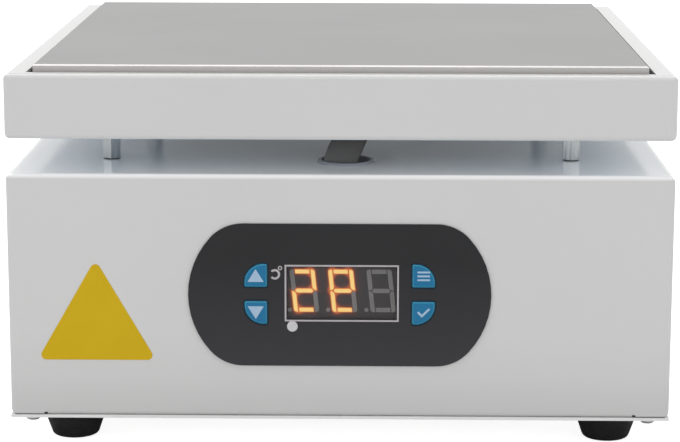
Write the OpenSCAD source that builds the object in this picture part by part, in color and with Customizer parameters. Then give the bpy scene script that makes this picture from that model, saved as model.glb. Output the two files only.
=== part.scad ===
// Heating platform: a flat aluminium hot plate in a folded steel tray, carried on four hex
// pillars above a folded steel control box that stands on four rubber feet.
// Millimetres, +Z up. The origin is on the bench, at the centre of the footprint, and the
// control panel faces -Y.

/* [Heated plate] */
// Width of the heated plate, left to right
plate_w = 200; // [170:5:260]
// Depth of the heated plate, front to back
plate_d = 200; // [170:5:260]
// Thickness of the heated plate
plate_t = 10; // [9:0.5:14]
// Bevel along the plate's top edges
plate_bevel = 0.45; // [0.3:0.05:1.2]
// How far the plate stands above the tray's rim
plate_proud = 2.3; // [1:0.1:4]
// How far the plate lies in front of the tray's middle
plate_forward = 3; // [0:0.5:3.5]

/* [Heating elements] */
// Outside diameter of the tubular elements
tube_d = 8; // [6:0.5:9]
// How far a tube stands out below the plate
tube_drop = 2; // [1:0.25:3]
// From the platform's centre line to the middle of each U
tube_offset = 42; // [38:1:50]
// Centre line radius of the bend of each U
tube_bend = 17; // [14:0.5:20]
// From the plate's front edge to the tubes' front ends
tube_front = 45; // [30:1:60]
// From the plate's back edge to the outside of the bends
tube_back = 31; // [25:1:60]
// Thickness of the clamp strips
clamp_t = 1.5; // [1:0.25:2.5]
// How far the grooves run on in front of the tubes, for the leads
groove_run = 24; // [18:1:28]
// Length of a clamp strip, front to back
clamp_l = 12; // [8:1:20]
// From the middle of a U to its clamp screws
clamp_reach = 25; // [23:0.5:27]

/* [Tray] */
// Thickness of all folded sheet steel
sheet_t = 1.2; // [0.8:0.1:1.6]
// Outside radius of the bends along the left and right sides
side_bend_r = 2.4; // [1.7:0.1:3]
// Outside radius of the bends along the front and the rear
front_bend_r = 1.5; // [1.3:0.1:2]
// Radius of the ground corners, where the folded sides meet
corner_r = 1.6; // [0.4:0.1:2]
// From the plate's edge to the tray's outer wall
tray_margin = 9; // [7:0.5:14]
// Gap between the plate and the tray's rim
rim_gap = 2; // [1:0.25:3]
// Thickness of the insulating mat on the tray's floor
mat_t = 6; // [4:0.5:12]
// Space between the mat and the clamp screws
mat_gap = 1.2; // [0.3:0.1:2]

/* [Pillars] */
// Clear air gap between the control box and the tray
air_gap = 11.4; // [9:0.2:20]
// Width of the hex pillars across their flats
pillar_af = 5.5; // [5:0.5:8]
// From the outer wall of the tray to a pillar's axis
pillar_inset = 31.5; // [28:0.5:45]
// Diameter of the screws in the pillars, the base and the boards
screw_d = 3; // [2.5:0.5:3]
// How far a screw or stud is threaded into its part
thread_l = 5; // [4:0.5:5]

/* [Heater leads] */
// From the platform's centre line to the cable hole in the control box
lead_x = 1.7; // [-5:0.1:5]
// From the front face to the centre of the cable holes
lead_inset = 26; // [24:1:32]
// Outside diameter of the cable grommets
grommet_d = 19.4; // [17:0.2:21]
// Width of the flat sleeve around the heater leads
sleeve_w = 11; // [9:0.2:12]
// Thickness of the flat sleeve
sleeve_t = 4; // [3:0.5:5]
// Gap between the sleeve and the left side of the lower ring
sleeve_clear = 0.4; // [0.4:0.1:1.2]
// How far the sleeve leans to the right as it rises to the tray
sleeve_lean = 3; // [0:0.2:6]

/* [Control box] */
// Height of the folded cover above the base plate
body_h = 81.1; // [76:0.1:110]
// Width of the flanges that fold in under the cover
flange_w = 12; // [11:0.5:16]
// From the cover's side wall to the relief notch beside a flange
notch_inset = 11.6; // [11:0.2:15]
// Width of a relief notch
notch_w = 1.1; // [0.8:0.1:2]
// From the cover's walls to the screws that hold the base plate
base_screw_inset = 6.4; // [5.6:0.2:7.4]
// Thickness of the base plate
base_t = 1; // [1:0.1:2]
// Length of a vent slot in the base plate
vent_l = 26; // [15:1:40]
// Width of a vent slot
vent_w = 3; // [2:0.5:4]
// Distance from one vent slot to the next
vent_pitch = 8; // [6:0.5:12]
// Number of vent slots in each group
vent_count = 7; // [3:1:9]

/* [Feet] */
// Height of a rubber foot
foot_h = 10.6; // [9:0.2:16]
// Diameter of a foot where it meets the base plate
foot_top_d = 22.6; // [16:0.2:24]
// Diameter of a foot on the bench
foot_bottom_d = 16.2; // [12:0.2:20]
// Radius of the rounded edge under a foot
foot_edge_r = 1.6; // [0.8:0.1:2.5]
// From the base plate's sides to a foot's axis
foot_inset = 19; // [18:0.5:28]

/* [Control panel] */
// Width of the panel overlay
panel_w = 99.4; // [94:0.2:120]
// Height of the panel overlay
panel_h = 47.7; // [44:0.1:56]
// Thickness of the panel overlay
panel_t = 0.6; // [0.4:0.1:1]
// Radius of the overlay's bowed ends
panel_end_r = 28.5; // [27:0.5:32]
// Radius of the overlay's corners
panel_corner_r = 14.4; // [10:0.2:16]
// From the cover's lower edge to the middle of the overlay
panel_rise = 41.2; // [36:0.1:50]
// How far the keys' middle sits above the overlay's middle
display_rise = 0.4; // [-2:0.2:2]
// How far the display sits to the right of the keys' middle
display_x = 0.7; // [-1:0.1:1]
// How far the display sits above the keys' middle
display_lift = 0.3; // [-1:0.1:1]

/* [Display] */
// Width of the printed frame around the display
display_w = 37.4; // [36:0.1:42]
// Height of the printed frame around the display
display_h = 19; // [18:0.1:22]
// Width of the printed frame's line
frame_line = 0.7; // [0.4:0.1:1.2]
// Depth of the three-digit display module
module_t = 8; // [6:0.5:10]
// Height of a digit
digit_h = 14.3; // [11:0.1:15]
// Width of a digit
digit_w = 8.3; // [6.5:0.1:9]
// Distance from one digit to the next
digit_pitch = 12.6; // [11.6:0.1:12.8]
// Slant of the digits, in degrees
digit_slant = 6; // [0:0.5:10]
// Width of a lit segment
segment_w = 1.45; // [1:0.05:1.8]
// Gap between neighbouring segments
segment_gap = 0.3; // [0.1:0.05:0.4]
// Diameter of a decimal point
point_d = 1.4; // [1:0.1:1.5]
// Diameter of the output lamp
lamp_d = 3.2; // [2.4:0.1:3.6]

/* [Keys] */
// Width of a key
key_w = 7.4; // [6.6:0.1:8.4]
// Height of a key
key_h = 7.8; // [7:0.1:9]
// Radius of a key's one large corner
key_r = 6.2; // [3:0.1:6.4]
// How far a key stands out of the overlay
key_proud = 0.4; // [0.2:0.1:0.8]
// Travel of a key when it is pressed
key_travel = 0.4; // [0.2:0.1:0.5]
// Gap between a key and the edge of its window
key_clear = 0.2; // [0.15:0.05:0.3]
// From the display's frame to the keys beside it
key_gap = 5.1; // [4:0.1:6]
// Gap between an upper and a lower key
key_row_gap = 4.7; // [4:0.1:6]
// Thickness of a key's retaining lip
key_lip_t = 0.8; // [0.5:0.1:1]
// Side of a key switch's square body
switch_a = 6; // [5.6:0.1:6.4]
// Height of a key switch's body above the board
switch_h = 3.6; // [3:0.1:4]
// Diameter of a key switch's plunger
plunger_d = 3.4; // [2.4:0.1:3.6]

/* [Control board] */
// Thickness of the circuit boards
board_t = 1.6; // [1.2:0.1:2]
// From the keys to the board's side edges
board_margin = 13; // [11:0.5:16]
// Height of the control board
board_h = 42; // [40:0.5:46]

/* [Power board] */
// Width of the power board
power_w = 110; // [105:1:120]
// Depth of the power board
power_d = 80; // [78:1:90]
// From the platform's centre line to the middle of the power board
power_x = -22; // [-30:1:-20]
// From the platform's middle to the middle of the power board
power_y = 18; // [10:1:24]
// Height of the spacers under the power board
power_lift = 6; // [4:0.5:10]

/* [Power inlet] */
// From the platform's centre line to the middle of the inlet
inlet_x = 58; // [54:1:64]
// Width of the inlet's body behind the wall
inlet_w = 27.6; // [27:0.1:30]
// Height of the inlet's body
inlet_h = 47.6; // [47:0.1:52]
// Depth of the inlet's body behind the wall
inlet_d = 27; // [24:0.5:34]
// Thickness of the inlet's flange
inlet_flange_t = 2.5; // [2.2:0.1:3.5]
// Distance between the two screws of the inlet
inlet_screws_w = 40; // [38:0.5:46]
// Width of the socket
socket_w = 24.4; // [24:0.1:25]
// Height of the socket
socket_h = 16.6; // [16:0.1:17]
// Depth of the socket from the flange's face
socket_d = 18; // [16:0.5:19]
// Radius of the rocker's rounded ends
rocker_r = 9.2; // [8:0.1:10]
// Length of the rocker along its pivot
rocker_l = 12; // [10:0.5:13]
// Tilt of the rocker each way from level, in degrees
rocker_tilt = 10; // [6:1:12]
// How far the fuse drawer pulls out
drawer_travel = 12; // [8:0.5:13]

/* [Hidden] */

// Clearances: running fit of a pin, a screw in a plain hole, a screw in its thread, parts
// that sit beside each other, and parts that move past each other
pin_clear = 0.06;
hole_clear = 0.2;
thread_clear = 0.05;
side_clear = 0.15;
move_clear = 0.3;
// Overshoot of a cutting solid past the face that it cuts
cut = 1;

screw_r = screw_d / 2;
hole_r = screw_r + hole_clear;
thread_r = screw_r + thread_clear;
head_r = screw_r * 1.85;
head_t = screw_r * 1.45;
washer_r = screw_r * 2.3;
washer_t = 0.6;
nut_af = screw_d * 1.83;
nut_t = screw_d * 0.8;

// Low heads of the clamp screws, so that the tray stays shallow
clamp_head_t = 1.8;

// The tray is as deep as what it holds
body_w = plate_w + 2 * tray_margin;
body_d = plate_d + 2 * tray_margin;
post_l = mat_t + mat_gap + clamp_head_t + clamp_t + tube_drop;
tray_h = sheet_t + post_l + plate_t - plate_proud;

base_z = foot_h;
cover_z = base_z + base_t;
cover_top = cover_z + body_h;
tray_z = cover_top + air_gap;
tray_floor = tray_z + sheet_t;
tray_top = tray_z + tray_h;
plate_z = tray_floor + post_l;

// Reach of the parts that stand out of the front and rear walls
front_reach = panel_t + key_proud;
rocker_corner = 26;
rocker_heel = 30;
rocker_sink = 2;
rocker_valley = 2.6;
drawer_face_t = 1.4;
drawer_lip = 0.9;
rear_reach = inlet_flange_t + max(rocker_r * sin(rocker_corner + rocker_tilt) - rocker_sink,
    side_clear + drawer_face_t + drawer_lip);
middle_y = (front_reach - rear_reach) / 2;
front_y = middle_y - body_d / 2;
back_y = middle_y + body_d / 2;
plate_y = middle_y - plate_forward;

pillar_x = body_w / 2 - pillar_inset;
pillar_y = body_d / 2 - pillar_inset;
lead_y = front_y + lead_inset;

panel_z = cover_z + panel_rise;
keys_z = panel_z + display_rise;
display_z = keys_z + display_lift;
window_w = display_w - 2 * frame_line;
window_h = display_h - 2 * frame_line;
window_lip = 0.6;
window_lip_t = 0.6;
segment_t = 0.3;
segment_y = front_y + window_lip_t;
module_y = segment_y + segment_t;
board_y = module_y + module_t;
// The digits sit a little up and to the right, which leaves room for the decimal points
digit_shift = [0.3, 0.6];
// Rounding of a digit's four outer corners
digit_corner = 0.9;

// Pins of the display module, in two rows
pin_pitch = 2.54;
pin_row = 7.62;
pin_r = 0.3;

lamp_x = lamp_d - display_w / 2;
lamp_z = display_z - display_h / 2 - lamp_d / 2 + side_clear;
lamp_lens = 0.25;

key_x = display_w / 2 + key_gap + key_w / 2;
key_z = key_row_gap / 2 + key_h / 2;
key_lip = 0.6;
lip_y = front_y + side_clear;
lip_back = lip_y + key_lip_t;
switch_y = board_y - switch_h;
plunger_seat = 1.4;
// Side to side and up and down signs of the four keys, each round at its outer corner
UP = [-1, 1];
DOWN = [-1, -1];
SET = [1, 1];
ENTER = [1, -1];

board_w = 2 * (key_x + key_w / 2) + 2 * board_margin;
board_hole = 4;
spacer_af = 5;
power_z = cover_z + power_lift;
power_hole = 4;

inlet_z = cover_z + body_h / 2;
inlet_flange_w = inlet_screws_w + 10;
inlet_flange_h = inlet_h + 6;
inlet_corner = 5;
socket_z = -14.2;
socket_chamfer = 4.6;
drawer_z = -1.2;
drawer_w = 22;
drawer_h = 6;
drawer_d = drawer_travel + 4;
fuse_r = 2.6;
fuse_l = 20;
rocker_z = 12;
rocker_pin_r = 1.3;
rocker_pin_l = 1.2;
blade_w = 2;
blade_h = 4;
blade_l = 14;
tab_l = 9;
tab_t = 0.8;

// Front and back ends of the elements' straight legs, and the height of their centre line
leg_front = plate_y - plate_d / 2 + tube_front;
leg_back = plate_y + plate_d / 2 - tube_back - tube_bend - tube_d / 2;
tube_z = plate_z - tube_drop + tube_d / 2;
terminal_collar = 5;
terminal_stud = 6;
// Front and rear clamp strips across each element
clamp_rows = [leg_front + 18, leg_back - 19];

probe_lug_r = screw_r + 2.4;
probe_lug_t = 1;
probe_r = 1.9;
probe_l = 12;
probe_z = plate_z - probe_r - 0.1;
probe_end = middle_y - probe_lug_r - probe_l;

neck_r = grommet_d / 2 - 0.8;
grommet_bore_r = neck_r - 0.6;
// The sleeve leans from the left side of the lower ring to the middle of the ring in the tray
tray_lead_x = lead_x + sleeve_lean;
sleeve_x = lead_x - grommet_bore_r + sleeve_clear + sleeve_w / 2;
sleeve_y = lead_y - 0.8;
sleeve_low = cover_top - 14;
sleeve_high = tray_floor + mat_t + 0.5;
lead_d = 2.2;
lead_pitch = 3;
bead_t = 0.9;
post_r = 4;

mains_d = 2.6;
terminal_pitch = 8;
terminal_ways = 6;
terminal_d = 14;
terminal_x = power_x - 6;
terminal_y = power_y + middle_y - power_d / 2 + terminal_d;
terminal_h = 14;
terminal_hole = 5;
pocket_w = 4;
pocket_d = 6;
pocket_z = 3.4;
entry_y = terminal_y - terminal_d / 2 + pocket_d - side_clear;
entry_z = power_z + board_t + pocket_z + pocket_w / 2;
ribbon_x = power_x + power_w / 2 - 21;
ribbon_w = 12;
ribbon_t = 1.2;
earth_x = body_w / 2 - flange_w - 9;
earth_y = middle_y + 30;
lug_t = 0.8;

// Header of the ribbon cable on the control board's back, and the transformer
header_w = 16;
header_d = 6;
header_h = 5;
header_drop = 17;
core_w = 36;
core_d = 30;
core_h = 30;
core_leg = 6;
coil_out = 5;

// Points of an arc in a plane
function arc(x, y, r, from, to, steps) = [for (i = [0:steps])
    [x + r * cos(from + (to - from) * i / steps), y + r * sin(from + (to - from) * i / steps)]];

// Outline of a rectangle with rounded corners
function rounded(w, h, r, steps) = [for (k = [0:3])
    let (sx = k == 0 || k == 3 ? 1 : -1, sy = k < 2 ? 1 : -1)
    each arc(sx * (w / 2 - r), sy * (h / 2 - r), r, 90 * k, 90 * k + 90, steps)];

// Outline of a folded section: bent lower corners of radius rb and upper corners of radius rt
function folded(w, low, high, rb, rt) = concat(
    rb > 0 ? arc(w / 2 - rb, low + rb, rb, -90, 0, 6) : [[w / 2, low]],
    rt > 0 ? arc(w / 2 - rt, high - rt, rt, 0, 90, 6) : [[w / 2, high]],
    rt > 0 ? arc(rt - w / 2, high - rt, rt, 90, 180, 6) : [[-w / 2, high]],
    rb > 0 ? arc(rb - w / 2, low + rb, rb, 180, 270, 6) : [[-w / 2, low]]);

// Outline of the panel overlay: bowed ends that run into rounded corners
function panel_outline() = let (
    re = panel_end_r, rc = panel_corner_r, ax = panel_w / 2 - re, cz = panel_h / 2 - rc,
    cx = ax + sqrt((re - rc) * (re - rc) - cz * cz),
    a = atan2(cz, cx - ax)) concat(
        arc(ax, 0, re, -a, a, 12),
        arc(cx, cz, rc, a, 90, 8),
        arc(-cx, cz, rc, 90, 180 - a, 8),
        arc(-ax, 0, re, 180 - a, 180 + a, 12),
        arc(-cx, -cz, rc, 180 + a, 270, 8),
        arc(cx, -cz, rc, 270, 360 - a, 8));

// Outline of a key, round at its outer corner, grown by a margin
function key_outline(side, grow) = let (w = key_w / 2 + grow, h = key_h / 2 + grow, r = key_r + grow)
    [for (p = concat(arc(w - r, h - r, r, 0, 90, 10), [[-w, h], [-w, -h], [w, -h]]))
        [p[0] * side[0], p[1] * side[1]]];

// Points of one segment, leaning with the digit: flat bars at the top and bottom, a pointed bar
// in the middle, and side bars with a round outer corner and a bevelled inner one
function lean(p) = [p[0] - p[1] * tan(digit_slant), p[1]];
function flat_bar(end) = let (x = digit_w / 2 - segment_w - segment_gap, z = digit_h / 2)
    [[-x, end * (z - segment_w)], [x, end * (z - segment_w)], [x, end * z], [-x, end * z]];
function middle_bar() = let (s = segment_w / 2, tip = digit_w / 2 - s - segment_gap)
    [[-tip, 0], [s - tip, -s], [tip - s, -s], [tip, 0], [tip - s, s], [s - tip, s]];
function side_bar(side, end) = let (
    x = digit_w / 2, z = digit_h / 2, low = segment_gap / 2, r = digit_corner)
    [for (p = concat([[x, low], [x - segment_w / 2, low], [x - segment_w, low + segment_w / 2],
        [x - segment_w, z]], arc(x - r, z - r, r, 90, 0, 4))) [side * p[0], end * p[1]]];
function segment(name) = [for (p =
    name == "a" ? flat_bar(1) :
    name == "d" ? flat_bar(-1) :
    name == "g" ? middle_bar() :
    name == "b" ? side_bar(1, 1) :
    name == "c" ? side_bar(1, -1) :
    name == "f" ? side_bar(-1, 1) :
    side_bar(-1, -1)) lean(p)];
// Segments that glow in each digit, left to right
LIT = ["abged", "abfged", ""];

// Rings of a tube or strip swept along a route of points
function unit(v) = v / norm(v);
function upright(v, t) = unit(v - (v * t) * t);
function heading(p, points, i) = i == 0 ? unit(points[1] - points[0]) :
    i == len(p) - 1 ? unit(points[len(points) - 1] - points[len(points) - 2]) :
    unit(unit(p[i + 1] - p[i]) + unit(p[i] - p[i - 1]));
function ease(p, steps) = [for (i = [0:len(p) - 2], k = [0:steps - 1])
    let (t = k / steps, a = p[max(i - 1, 0)], b = p[i], c = p[i + 1], d = p[min(i + 2, len(p) - 1)])
    0.5 * (2 * b + (c - a) * t + (2 * a - 5 * b + 4 * c - d) * t * t
        + (3 * b - 3 * c + d - a) * t * t * t)];
function route(p, steps) = concat(ease(p, steps), [p[len(p) - 1]]);

module sweep(points, steps, ring, across) {
    path = route(points, steps);
    last = len(path) - 1;
    n = len(ring);
    ways = [for (i = [0:last]) heading(path, points, i)];
    // Each ring's first direction is carried on from the ring before, so that nothing twists
    sides = [for (i = 0, u = upright(across, ways[0]); i <= last;
            i = i + 1, u = upright(u, ways[min(i, last)])) u];
    rings = [for (i = [0:last])
        let (u = sides[i], v = cross(ways[i], u))
        for (q = ring) path[i] + q[0] * u + q[1] * v];
    walls = [for (i = [0:last - 1], k = [0:n - 1])
        [i * n + k, i * n + (k + 1) % n, (i + 1) * n + (k + 1) % n, (i + 1) * n + k]];
    split = [for (w = walls) each [[w[2], w[1], w[0]], [w[3], w[2], w[0]]]];
    caps = [[for (k = [0:n - 1]) k], [for (k = [n - 1:-1:0]) last * n + k]];
    polyhedron(rings, concat(split, caps), convexity = 6);
}
module wire(points, d, across) sweep(points, 4, arc(0, 0, d / 2, 0, 315, 7), across);

// A block with bent edges, as folded sheet steel has, shrunk on every side by a depth
module folded_block(low, high, deep) {
    side_r = side_bend_r - deep;
    front_r = front_bend_r - deep;
    translate([0, middle_y, 0])
        intersection() {
            rotate([90, 0, 0])
                linear_extrude(body_d - 2 * deep, center = true)
                    polygon(folded(body_w - 2 * deep, low + deep, high - deep, side_r, side_r));
            rotate([90, 0, 90])
                linear_extrude(body_w - 2 * deep, center = true)
                    polygon(folded(body_d - 2 * deep, low + deep, high - deep, front_r, front_r));
        }
}
// The upright block that rounds off the corners of a folded box
module corner_block(low, high) {
    translate([0, middle_y, low])
        linear_extrude(high - low)
            polygon(rounded(body_w, body_d, corner_r, 4));
}
// Copies at the four corners of a rectangle around the body's centre line
module corners(x, y) {
    for (sx = [-1, 1], sy = [-1, 1])
        translate([sx * x, middle_y + sy * y, 0]) children();
}
// Copies at the four corners of a rectangle that stands upright behind the front wall
module upright_corners(x, z) {
    for (sx = [-1, 1], sz = [-1, 1])
        translate([sx * x, 0, keys_z + sz * z]) children();
}
// An outline in X and Z, pushed back from its front face
module plate_at(y, t) {
    translate([0, y + t, 0])
        rotate([90, 0, 0])
            linear_extrude(t) children();
}
// A pan head screw that points up, its head's flat face at z = 0
module pan_screw(l) {
    difference() {
        union() {
            cylinder(r = screw_r, h = l, $fn = 32);
            translate([0, 0, -head_t * 0.6])
                cylinder(r = head_r, h = head_t * 0.6, $fn = 40);
            translate([0, 0, -head_t])
                cylinder(r1 = head_r * 0.7, r2 = head_r, h = head_t * 0.4, $fn = 40);
        }
        for (a = [0, 90])
            rotate([0, 0, a])
                translate([-head_r * 0.55, -screw_r * 0.14, -head_t - cut])
                    cube([head_r * 1.1, screw_r * 0.28, cut + head_t * 0.5]);
    }
}
module hex_bar(af, l, turn) rotate([0, 0, turn]) cylinder(d = af / cos(30), h = l, $fn = 6);

// U-shaped grooves in the plate's underside, into which the elements are laid from below
module element_grooves() {
    r = tube_d / 2 + side_clear;
    down = tube_z - plate_z + cut;
    profile = concat(arc(0, 0, r, 0, 180, 12), [[-r, -down], [r, -down]]);
    for (side = [-1, 1])
        translate([side * tube_offset, leg_back, tube_z]) {
            for (leg = [-1, 1])
                translate([leg * tube_bend, 0, 0])
                    rotate([90, 0, 0])
                        linear_extrude(leg_back - leg_front + groove_run)
                            polygon(profile);
            rotate_extrude(angle = 180, $fn = 96)
                translate([tube_bend, 0])
                    polygon(profile);
        }
}

module heating_plate() {
    hole_l = thread_l + side_clear;
    color([0.70, 0.72, 0.71])
        difference() {
            translate([0, plate_y, 0])
                intersection() {
                    rotate([90, 0, 0])
                        linear_extrude(plate_d, center = true)
                            polygon(bevelled(plate_w));
                    rotate([90, 0, 90])
                        linear_extrude(plate_w, center = true)
                            polygon(bevelled(plate_d));
                }
            element_grooves();
            corners(pillar_x, pillar_y)
                translate([0, 0, plate_z - cut])
                    cylinder(r = thread_r, h = cut + hole_l, $fn = 32);
            for (side = [-1, 1], s = [-1, 1], y = clamp_rows)
                translate([side * tube_offset + s * clamp_reach, y, plate_z - cut])
                    cylinder(r = thread_r, h = cut + hole_l, $fn = 32);
            translate([0, middle_y, plate_z - cut])
                cylinder(r = thread_r, h = cut + hole_l, $fn = 32);
        }
}
function bevelled(w) = [[w / 2, plate_z], [w / 2, plate_z + plate_t - plate_bevel],
    [w / 2 - plate_bevel, plate_z + plate_t], [plate_bevel - w / 2, plate_z + plate_t],
    [-w / 2, plate_z + plate_t - plate_bevel], [-w / 2, plate_z]];

module heater_elements() {
    r = tube_d / 2;
    color([0.45, 0.43, 0.42])
        for (side = [-1, 1])
            translate([side * tube_offset, leg_back, tube_z]) {
                for (leg = [-1, 1])
                    translate([leg * tube_bend, 0, 0])
                        rotate([90, 0, 0])
                            cylinder(r = r, h = leg_back - leg_front, $fn = 48);
                rotate_extrude(angle = 180, $fn = 96)
                    translate([tube_bend, 0])
                        circle(r = r, $fn = 48);
            }
}

module element_terminals() {
    color([0.93, 0.92, 0.88])
        for (side = [-1, 1], leg = [-1, 1])
            translate([side * tube_offset + leg * tube_bend, leg_front, tube_z])
                rotate([90, 0, 0]) {
                    cylinder(r = tube_d / 2 - 0.8, h = terminal_collar, $fn = 32);
                    translate([0, 0, terminal_collar])
                        cylinder(r = 1.2, h = terminal_stud, $fn = 24);
                }
}

module element_clamps() {
    strip_x = clamp_reach + head_r + 0.4;
    color([0.78, 0.79, 0.80])
        for (side = [-1, 1], y = clamp_rows)
            translate([side * tube_offset, y, plate_z - tube_drop - clamp_t])
                difference() {
                    translate([-strip_x, -clamp_l / 2, 0])
                        cube([2 * strip_x, clamp_l, clamp_t]);
                    for (s = [-1, 1])
                        translate([s * clamp_reach, 0, -cut])
                            cylinder(r = hole_r, h = clamp_t + 2 * cut, $fn = 32);
                }
}

module clamp_screws() {
    color([0.75, 0.76, 0.78])
        for (side = [-1, 1], s = [-1, 1], y = clamp_rows)
            translate([side * tube_offset + s * clamp_reach, y,
                    plate_z - tube_drop - clamp_t - clamp_head_t]) {
                cylinder(r = head_r, h = clamp_head_t, $fn = 40);
                translate([0, 0, clamp_head_t])
                    cylinder(r = screw_r, h = clamp_t + tube_drop + thread_l, $fn = 32);
            }
}

module temperature_probe() {
    color([0.72, 0.73, 0.75])
        difference() {
            union() {
                translate([0, middle_y, plate_z - probe_lug_t])
                    cylinder(r = probe_lug_r, h = probe_lug_t, $fn = 40);
                translate([0, probe_end + probe_l + 0.8, probe_z])
                    rotate([90, 0, 0])
                        cylinder(r = probe_r, h = probe_l + 0.8, $fn = 32);
            }
            translate([0, middle_y, plate_z - probe_lug_t - cut])
                cylinder(r = hole_r, h = probe_lug_t + 2 * cut, $fn = 32);
        }
}

module probe_screw() {
    color([0.75, 0.76, 0.78])
        translate([0, middle_y, plate_z - probe_lug_t])
            pan_screw(probe_lug_t + thread_l);
}

module insulation_mat() {
    edge = max(side_bend_r, front_bend_r) + side_clear;
    color([0.93, 0.93, 0.90])
        translate([0, 0, tray_floor])
            linear_extrude(mat_t)
                difference() {
                    translate([0, middle_y])
                        square([body_w - 2 * edge, body_d - 2 * edge], center = true);
                    for (sx = [-1, 1], sy = [-1, 1])
                        translate([sx * pillar_x, middle_y + sy * pillar_y])
                            circle(r = post_r + move_clear, $fn = 40);
                    translate([tray_lead_x, lead_y])
                        circle(r = grommet_d / 2 + move_clear, $fn = 48);
                }
}

// One solid for the tray's inside, so that its walls and floor are all of sheet thickness
module heat_tray() {
    color([0.86, 0.86, 0.85])
        difference() {
            intersection() {
                folded_block(tray_z, tray_top, 0);
                corner_block(tray_z, tray_top);
            }
            folded_block(tray_z, tray_top, sheet_t);
            translate([0, plate_y, tray_top - sheet_t / 2])
                cube([plate_w + 2 * rim_gap, plate_d + 2 * rim_gap, sheet_t + 2 * cut], center = true);
            corners(pillar_x, pillar_y)
                translate([0, 0, tray_z - cut])
                    cylinder(r = hole_r, h = sheet_t + 2 * cut, $fn = 32);
            translate([tray_lead_x, lead_y, tray_z - cut])
                cylinder(r = neck_r + pin_clear, h = sheet_t + 2 * cut, $fn = 64);
        }
}

module plate_posts() {
    color([0.92, 0.90, 0.86])
        corners(pillar_x, pillar_y)
            translate([0, 0, tray_floor])
                difference() {
                    cylinder(r = post_r, h = post_l, $fn = 40);
                    translate([0, 0, -cut])
                        cylinder(r = hole_r, h = post_l + 2 * cut, $fn = 32);
                }
}

module post_studs() {
    color([0.75, 0.76, 0.78])
        corners(pillar_x, pillar_y)
            translate([0, 0, tray_z - thread_l])
                cylinder(r = screw_r, h = plate_z - tray_z + 2 * thread_l, $fn = 32);
}

module hex_pillars() {
    color([0.80, 0.82, 0.82])
        corners(pillar_x, pillar_y)
            translate([0, 0, cover_top])
                difference() {
                    hex_bar(pillar_af, air_gap, 30);
                    translate([0, 0, -cut])
                        cylinder(r = thread_r, h = air_gap + 2 * cut, $fn = 32);
                }
}

module pillar_screws() {
    color([0.75, 0.76, 0.78])
        corners(pillar_x, pillar_y)
            translate([0, 0, cover_top - sheet_t - washer_t])
                pan_screw(washer_t + sheet_t + thread_l - 1);
}

module pillar_washers() {
    color([0.75, 0.76, 0.78])
        corners(pillar_x, pillar_y)
            translate([0, 0, cover_top - sheet_t - washer_t])
                difference() {
                    cylinder(r = washer_r, h = washer_t, $fn = 40);
                    translate([0, 0, -cut])
                        cylinder(r = hole_r, h = washer_t + 2 * cut, $fn = 32);
                }
}

// Grey rubber rings that clip into the two cable holes: a neck in the sheet between two beads
module cable_grommets() {
    r = grommet_d / 2;
    round = 0.4;
    profile = [[grommet_bore_r, -bead_t], [r - round, -bead_t], [r, round - bead_t], [r, 0],
        [neck_r, 0], [neck_r, sheet_t], [r, sheet_t], [r, sheet_t + bead_t - round],
        [r - round, sheet_t + bead_t], [grommet_bore_r, sheet_t + bead_t]];
    color([0.45, 0.46, 0.48])
        for (at = [[lead_x, lead_y, cover_top - sheet_t], [tray_lead_x, lead_y, tray_z]])
            translate(at)
                rotate_extrude($fn = 64) polygon(profile);
}

// A flat sleeve that leans as it rises from the control box to the tray
module lead_sleeve() {
    color([0.27, 0.27, 0.27])
        sweep([[sleeve_x, sleeve_y, sleeve_low], [sleeve_x, sleeve_y, sleeve_low + 6],
            [sleeve_x, sleeve_y, cover_top - sheet_t], [tray_lead_x, sleeve_y, tray_floor],
            [tray_lead_x, sleeve_y, sleeve_high]], 4,
            rounded(sleeve_w, sleeve_t, 1, 3), [1, 0, 0]);
}

// Inside the tray: two leads from the sleeve to the elements' inner ends, the link between
// their outer ends, and the probe's lead
module tray_leads() {
    start_x = tray_lead_x;
    run_z = sleeve_high + 3.1;
    inner = tube_offset - tube_bend;
    outer = tube_offset + tube_bend;
    stud_y = leg_front - terminal_collar - terminal_stud;
    color([0.85, 0.83, 0.78]) {
        for (s = [-1, 1])
            wire([[start_x + s * lead_pitch, sleeve_y, sleeve_high + side_clear],
                [start_x + s * lead_pitch, sleeve_y, sleeve_high + 1.5],
                [start_x + s * (lead_pitch + 4), sleeve_y, run_z],
                [s * (inner - 4), sleeve_y + 1, run_z],
                [s * inner, stud_y - 8, run_z + 0.8],
                [s * inner, stud_y - 3, tube_z],
                [s * inner, stud_y, tube_z]], lead_d, [0, 1, 0]);
        wire([[-outer, stud_y, tube_z], [-outer, stud_y - 3, tube_z],
            [-outer, stud_y - 8, run_z + 0.8], [3 - outer, stud_y - 15, run_z],
            [16 - outer, sleeve_y - 6, run_z], [0, sleeve_y - 6, run_z],
            [outer - 16, sleeve_y - 6, run_z], [outer - 3, stud_y - 15, run_z],
            [outer, stud_y - 8, run_z + 0.8], [outer, stud_y - 3, tube_z],
            [outer, stud_y, tube_z]], lead_d, [1, 0, 0]);
        wire([[start_x, sleeve_y, sleeve_high + side_clear], [start_x, sleeve_y, sleeve_high + 1.5],
            [start_x, sleeve_y + 4, run_z], [start_x - 2, leg_front, run_z],
            [0, probe_end - 6, probe_z], [0, probe_end, probe_z]], lead_d, [1, 0, 0]);
    }
}

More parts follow.
